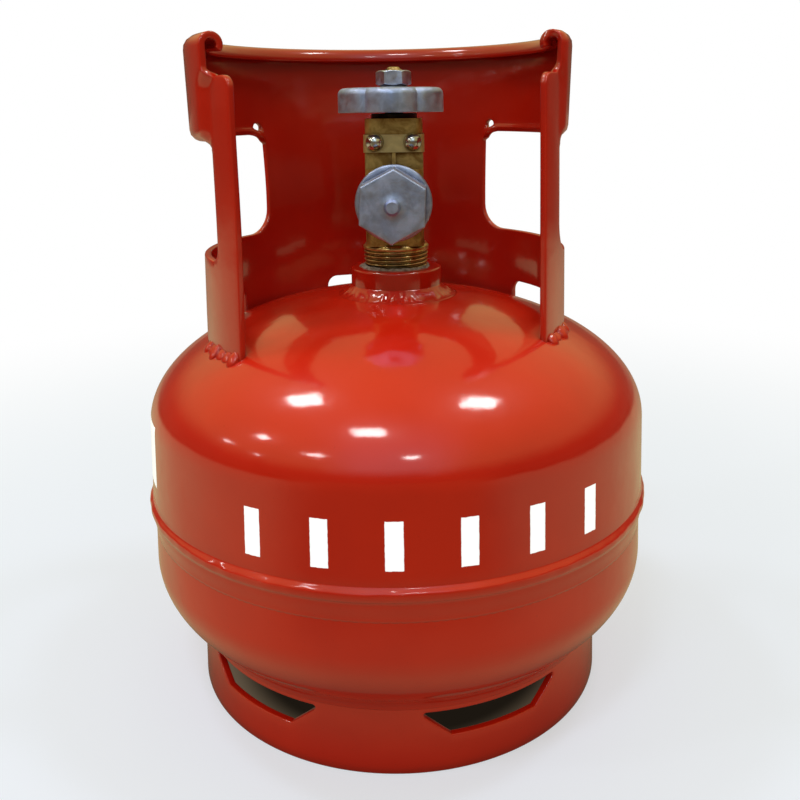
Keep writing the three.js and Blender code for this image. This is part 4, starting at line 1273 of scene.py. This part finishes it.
def wheel_nut():
    """A nut with its corners turned off at 30 degrees at the top and a little at the bottom."""
    apothem = NUT_ACROSS_FLATS / 2
    bore = 3.95
    base, top = nut_low[2], nut_high[2]
    chamfer_circle = apothem * 0.97
    circle, hexagon, chamfered = 0, 1, 2
    profile = [(bore, base + 0.6, circle), (bore + 0.6, base, circle), (apothem * 0.94, base, circle),
               (apothem, base + 0.35, hexagon), (apothem, top - 0.6, chamfered),
               (chamfer_circle, top, circle), (bore + 0.6, top, circle), (bore, top - 0.6, circle)]
    kinds = np.array([kind for _, _, kind in profile])

    def shape(azimuth, radius, height):
        kind = np.broadcast_to(kinds, radius.shape)
        edge = hexagon_radius(azimuth, apothem)
        drop = np.maximum(edge - chamfer_circle, 0) * math.tan(math.radians(30))
        height = np.where(kind == chamfered, top - drop, height)
        height = np.where(kind == hexagon, base + np.maximum(edge - apothem * 0.99, 0) * 0.5, height)
        return np.where(kind == circle, radius, edge), height

    points = [(radius, height) for radius, height, _ in profile]
    return turned(points, hexagon_angles(), shape, (VALVE_X, 0))


def spindle():
    """A square tang and a flange inside the valve; above the gland smooth, then threaded for the nut."""
    radius = 4.2
    pitch = 1.25
    flange = 9.4
    tang = TANG_WIDTH / 2
    bottom, top = spindle_low[2], spindle_high[2]
    tang_top = gland_low[2] - 8.7
    flange_base = gland_low[2] - 8.5
    flange_top = gland_low[2] - 6.3
    thread_base = washer_low[2]
    profile = [(0, bottom), (tang, bottom), (tang, tang_top), (flange, flange_base), (flange, flange_top),
               (radius, flange_top), (radius, thread_base - 0.3)]
    profile += [(radius - 0.3, z) for z in np.arange(thread_base, top - 1, 0.1)]
    profile += [(radius - 0.6, top - 1.3), (radius - 1.2, top - 0.5), (radius - 1.6, top - 0.12),
                (radius - 2, top), (0, top)]
    thread = thread_shape(pitch, 0.5, 1, thread_base, top + 3, 0.6)

    def shape(azimuth, point_radius, height):
        angle = np.radians(azimuth)
        square = 1 / np.maximum(np.abs(np.sin(angle)), np.abs(np.cos(angle)))
        return thread(azimuth, np.where(height <= tang_top, point_radius * square, point_radius), height)

    return on_valve(profile, 72, shape)


def gland_nut():
    outer = (gland_high[0] - gland_low[0]) / 2
    thread = outer - 0.8
    shoulder = BODY_TOP - 0.1
    base, top = gland_low[2], gland_high[2]
    corners = [(SPINDLE_HOLE, base, 0), (thread, base, 0.3), (thread, shoulder, 0.1),
               (outer, shoulder, 0.3), (outer, top, 0.5), (SPINDLE_HOLE, top, 0.3)]
    return on_valve(rounded(corners, 4), 96)


def flat_ring(bore, outer, low, high, bore_edge, outer_edge):
    """The corners of a washer's or gasket's outline; the edges are how far they are rounded."""
    return [(bore, low, bore_edge), (outer, low, outer_edge),
            (outer, high, outer_edge), (bore, high, bore_edge)]


def wheel_washer():
    outer = (washer_high[0] - washer_low[0]) / 2
    corners = flat_ring(SPINDLE_HOLE, outer, washer_low[2] - 0.2, washer_high[2] + 0.2, 0.1, 0.25)
    return on_valve(rounded(corners, 3), 72)


stand_in("gland_nut", gland_nut(), dark_steel)
stand_in("spindle", spindle(), cut_brass, "stem", sharp=50)
stand_in("handwheel", handwheel(), cast_aluminium, "stem")
stand_in("wheel_washer", wheel_washer(), zinc_steel, "stem")
stand_in("wheel_nut", wheel_nut(), zinc_steel, "stem", sharp=28, bevel=0.15)


# ---------------- outlet cap

def outlet_cap():
    """A hexagonal cap with a round flange, a nub on its face and a blind bore."""
    flange_front = CAP_BACK + CAP_FLANGE
    flange = CAP_FLANGE_RADIUS
    apothem = CAP_ACROSS_FLATS / 2
    bore = SPIGOT_RADIUS + 0.3
    bore_end = -gasket_low[1] + 0.3
    nub = CAP_NUB_RADIUS
    nub_end = CAP_FRONT + CAP_NUB_LENGTH
    edge = 0.7
    bore_steps = np.arange(CAP_BACK + 1.5, bore_end - 1.5, THREAD_PITCH / 8)
    round_back = [(0, bore_end), (bore - 0.4, bore_end)] + [(bore, z) for z in bore_steps[::-1]]
    round_back += [(bore + 0.3, CAP_BACK + 0.5), (bore + 0.8, CAP_BACK), (flange - 0.6, CAP_BACK),
                   (flange, CAP_BACK + 0.6), (flange, flange_front - 0.8),
                   (flange - 0.3, flange_front - 0.25), (flange - 0.8, flange_front)]
    hexagonal = [(apothem + 0.25, flange_front), (apothem, flange_front + 0.35)]
    for a in np.radians((0, 25, 50, 75, 90)):
        hexagonal.append((apothem - edge * (1 - math.cos(a)), CAP_FRONT - edge * (1 - math.sin(a))))
    hexagonal.append((apothem * 0.8, CAP_FRONT))
    round_front = [(nub + 3, CAP_FRONT), (nub + 0.5, CAP_FRONT), (nub + 0.1, CAP_FRONT + 0.3),
                   (nub - 0.5, nub_end - 0.5), (nub - 0.9, nub_end), (0, nub_end)]
    on_hexagon = [False] * len(round_back) + [True] * len(hexagonal) + [False] * len(round_front)
    first_flat = 30 - CAP_TWIST

    def shape(azimuth, radius, height):
        scale = hexagon_radius(azimuth, apothem, first_flat) / apothem
        return np.where(on_hexagon, radius * scale, radius), height

    profile = round_back + hexagonal + round_front
    return towards_outlet(turned(profile, hexagon_angles() + first_flat, shape))


def cap_gasket():
    outer = (gasket_high[0] - gasket_low[0]) / 2
    corners = flat_ring(5, outer, -gasket_high[1], -gasket_low[1], 0.2, 0.4)
    return towards_outlet(turned(rounded(corners, 4), full_turn(72)))


stand_in("outlet_cap", outlet_cap(), cast_aluminium, "cap", sharp=40)
stand_in("cap_gasket", cap_gasket(), rubber, "gasket")


# ---------------- pieces kept from the frame, inside the valve

for node, material in (("valve_plug", cut_brass), ("plug_seal", rubber), ("gland_packing", rubber)):
    kept_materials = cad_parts[node].data.materials
    kept_materials.clear()
    kept_materials.append(material)


# ---------------- floor, light and camera

# Lengths of the floor and the room are in metres.
FLOOR_HALF_WIDTH = 15
FLOOR_SHADE = (0.34, 0.40, 0.56, 1)
FLOOR_UNDER_RING_SHADE = (0.115, 0.085, 0.055, 1)
FLOOR_NEAR = (0.47, 0.37, 0.20, 1)
FLOOR_BRIGHT = (0.56, 0.51, 0.28, 1)
FLOOR_FAR = (0.08, 0.05, 0.03, 1)
FLOOR_AHEAD_SHADOW = (0.22, 0.16, 0.08, 1)
FLOOR_BEHIND = (0.34, 0.22, 0.14, 1)
ROOM_WALL = (0.13, 0.08, 0.05, 1)
ROOM_CEILING = (0.62, 0.53, 0.22, 1)
ROOM_AHEAD = (0.60, 0.84, 0.86, 1)
BACKDROP = (1.0, 1.0, 1.0, 1)
CEILING = 2.4
LAMP_RADIANCE = 22
LAMP_SIZE = (0.44, 0.34)
# x and y of each lamp, placed by the bright spots on the dome
CEILING_LAMPS = [(-0.39, -1.16), (1.01, 0.04), (-1.1, 0.2), (-2.78, -1.14), (0.47, -3.14), (-2.19, -2.79),
                 (-5.85, -1.04), (-5.56, -3.09)]


def seen_floor(nodes, distance):
    """What the camera sees: a pale floor with a soft shadow that fades to white, and a painted shade inside
    the ring.
    """
    lit = nodes.add("ShaderNodeBsdfDiffuse", {"Color": FLOOR_SHADE}).outputs[0]
    shadowed = nodes.add("ShaderNodeAddShader", {0: lit, 1: nodes.emission(BACKDROP, 0.5)}).outputs[0]
    seen = nodes.mix_shaders(nodes.stretch(distance, 0.2, 0.75), shadowed, nodes.emission(BACKDROP))
    # painted shade: inside the foot ring the floor glows faintly dark instead of lying in real shadow
    under = nodes.emission(FLOOR_UNDER_RING_SHADE, nodes.stretch(distance, 0.066, 0.082, 0.1, 1.0))
    ring = nodes.stretch(distance, (FOOT_RADIUS - FOOT_SHEET) * MM, FOOT_RADIUS * MM)
    return nodes.mix_shaders(ring, under, seen)


def bounced_floor(nodes, coordinates, distance):
    """What reflections and bounced light see: a warm floor that glows, which is painted light, with painted
    shadow under the ring and where the camera stands, dim far away and bright all round in between."""
    forward = nodes.value("MULTIPLY", nodes.add("ShaderNodeSeparateXYZ", {0: coordinates}).outputs["Y"], -1)
    heading = nodes.value("DIVIDE", forward, distance)
    # painted shadow ahead, where the camera stands
    ahead = nodes.value("MULTIPLY", nodes.stretch(heading, 0.62, 0.92), nodes.stretch(distance, 0.13, 0.3))
    behind = nodes.stretch(heading, -0.95, -0.6, 1, 0)
    tone = nodes.mix(nodes.stretch(distance, 0.085, 0.13), FLOOR_UNDER_RING_SHADE, FLOOR_NEAR)
    tone = nodes.mix(nodes.stretch(distance, 0.15, 0.35), tone, FLOOR_BRIGHT)
    tone = nodes.mix(nodes.stretch(distance, 0.9, 1.8), tone, FLOOR_FAR)
    tone = nodes.mix(ahead, tone, FLOOR_AHEAD_SHADOW)
    return nodes.emission(nodes.mix(behind, tone, FLOOR_BEHIND))


def make_floor():
    half = FLOOR_HALF_WIDTH
    mesh = bpy.data.meshes.new("floor")
    corners = [(-half, -half, 0), (half, -half, 0), (half, half, 0), (-half, half, 0)]
    mesh.from_pydata(corners, [], [(0, 1, 2, 3)])
    floor = bpy.data.objects.new("floor", mesh)
    bpy.context.scene.collection.objects.link(floor)
    material, nodes = new_material("pale_floor")
    coordinates = nodes.place()
    distance = nodes.vector("LENGTH", coordinates)["Value"]
    camera_ray = nodes.add("ShaderNodeLightPath").outputs["Is Camera Ray"]
    bounced = bounced_floor(nodes, coordinates, distance)
    shader = nodes.mix_shaders(camera_ray, bounced, seen_floor(nodes, distance))
    nodes.add("ShaderNodeOutputMaterial", {"Surface": shader})
    mesh.materials.append(material)


def make_world():
    """White behind the object; to reflections a warm ceiling over a dark wall, paler in front."""
    world = bpy.data.worlds.new("studio")
    bpy.context.scene.world = world
    world.use_nodes = True
    nodes = Nodes(world.node_tree)
    direction = nodes.add("ShaderNodeTexCoord").outputs["Generated"]
    parts = nodes.add("ShaderNodeSeparateXYZ", {0: direction}).outputs
    ahead = nodes.stretch(nodes.value("MULTIPLY", parts["Y"], -1), 0.0, 0.9)
    middle = nodes.stretch(nodes.value("ABSOLUTE", parts["X"]), 0.15, 0.6, 1, 0)
    ceiling = nodes.mix(nodes.value("MULTIPLY", ahead, middle), ROOM_CEILING, ROOM_AHEAD)
    room = nodes.mix(nodes.stretch(parts["Z"], 0.12, 0.42), ROOM_WALL, ceiling)
    camera_ray = nodes.add("ShaderNodeLightPath").outputs["Is Camera Ray"]
    colour = nodes.mix(camera_ray, room, BACKDROP)
    background = nodes.add("ShaderNodeBackground", {"Color": colour, "Strength": 1.0})
    nodes.add("ShaderNodeOutputWorld", {"Surface": background.outputs[0]})


def ceiling_lamp(number, x, y):
    """A soft lamp that shines straight down and shows as a bright spot in the paint."""
    light = bpy.data.lights.new(f"ceiling_lamp_{number}", "AREA")
    light.shape = "RECTANGLE"
    light.size, light.size_y = LAMP_SIZE
    light.energy = LAMP_RADIANCE * math.pi * LAMP_SIZE[0] * LAMP_SIZE[1]
    lamp = bpy.data.objects.new(light.name, light)
    lamp.location = (x, y, CEILING)
    lamp.visible_camera = False
    bpy.context.scene.collection.objects.link(lamp)


make_floor()
make_world()
for i, (lamp_x, lamp_y) in enumerate(CEILING_LAMPS):
    ceiling_lamp(i, lamp_x, lamp_y)

# the camera's place and angles, fitted to the edges in the photo
VIEW_TURN = 1.2
EYE = (4.27, -412.55, 251.63)
LENS = 40.71
PITCH = 5.51
ROLL = -0.81
YAW = 0.1
SHIFT_X = -0.0016
SHIFT_DOWN = -0.2516


def make_camera():
    """The photographed view: an eye at about the valve's height that looks slightly down, with the picture
    shifted down as well. The shift is driven so that it holds only in this view, where the camera's
    rotation is in Euler angles."""
    data = bpy.data.cameras.new("camera")
    data.lens = LENS
    data.sensor_width = 36
    data.clip_start = 0.02
    data.clip_end = 60
    data.shift_x = SHIFT_X
    camera = bpy.data.objects.new("camera", data)
    bpy.context.scene.collection.objects.link(camera)
    turn = Matrix.Rotation(math.radians(YAW + VIEW_TURN), 3, "Z")
    turn = turn @ Matrix.Rotation(math.radians(90 - PITCH), 3, "X")
    turn = turn @ Matrix.Rotation(math.radians(ROLL), 3, "Z")
    camera.location = Matrix.Rotation(math.radians(VIEW_TURN), 3, "Z") @ Vector(EYE) * MM
    camera.rotation_mode = "XYZ"
    camera.rotation_euler = turn.to_euler("XYZ")
    driver = data.driver_add("shift_y").driver
    driver.type = "SCRIPTED"
    mode = driver.variables.new()
    mode.name = "euler"
    mode.targets[0].id = camera
    mode.targets[0].data_path = "rotation_mode"
    driver.expression = f"{SHIFT_DOWN} * euler"
    bpy.context.scene.camera = camera


make_camera()
bpy.context.scene.view_settings.view_transform = "Standard"
bpy.context.scene.view_settings.look = "None"
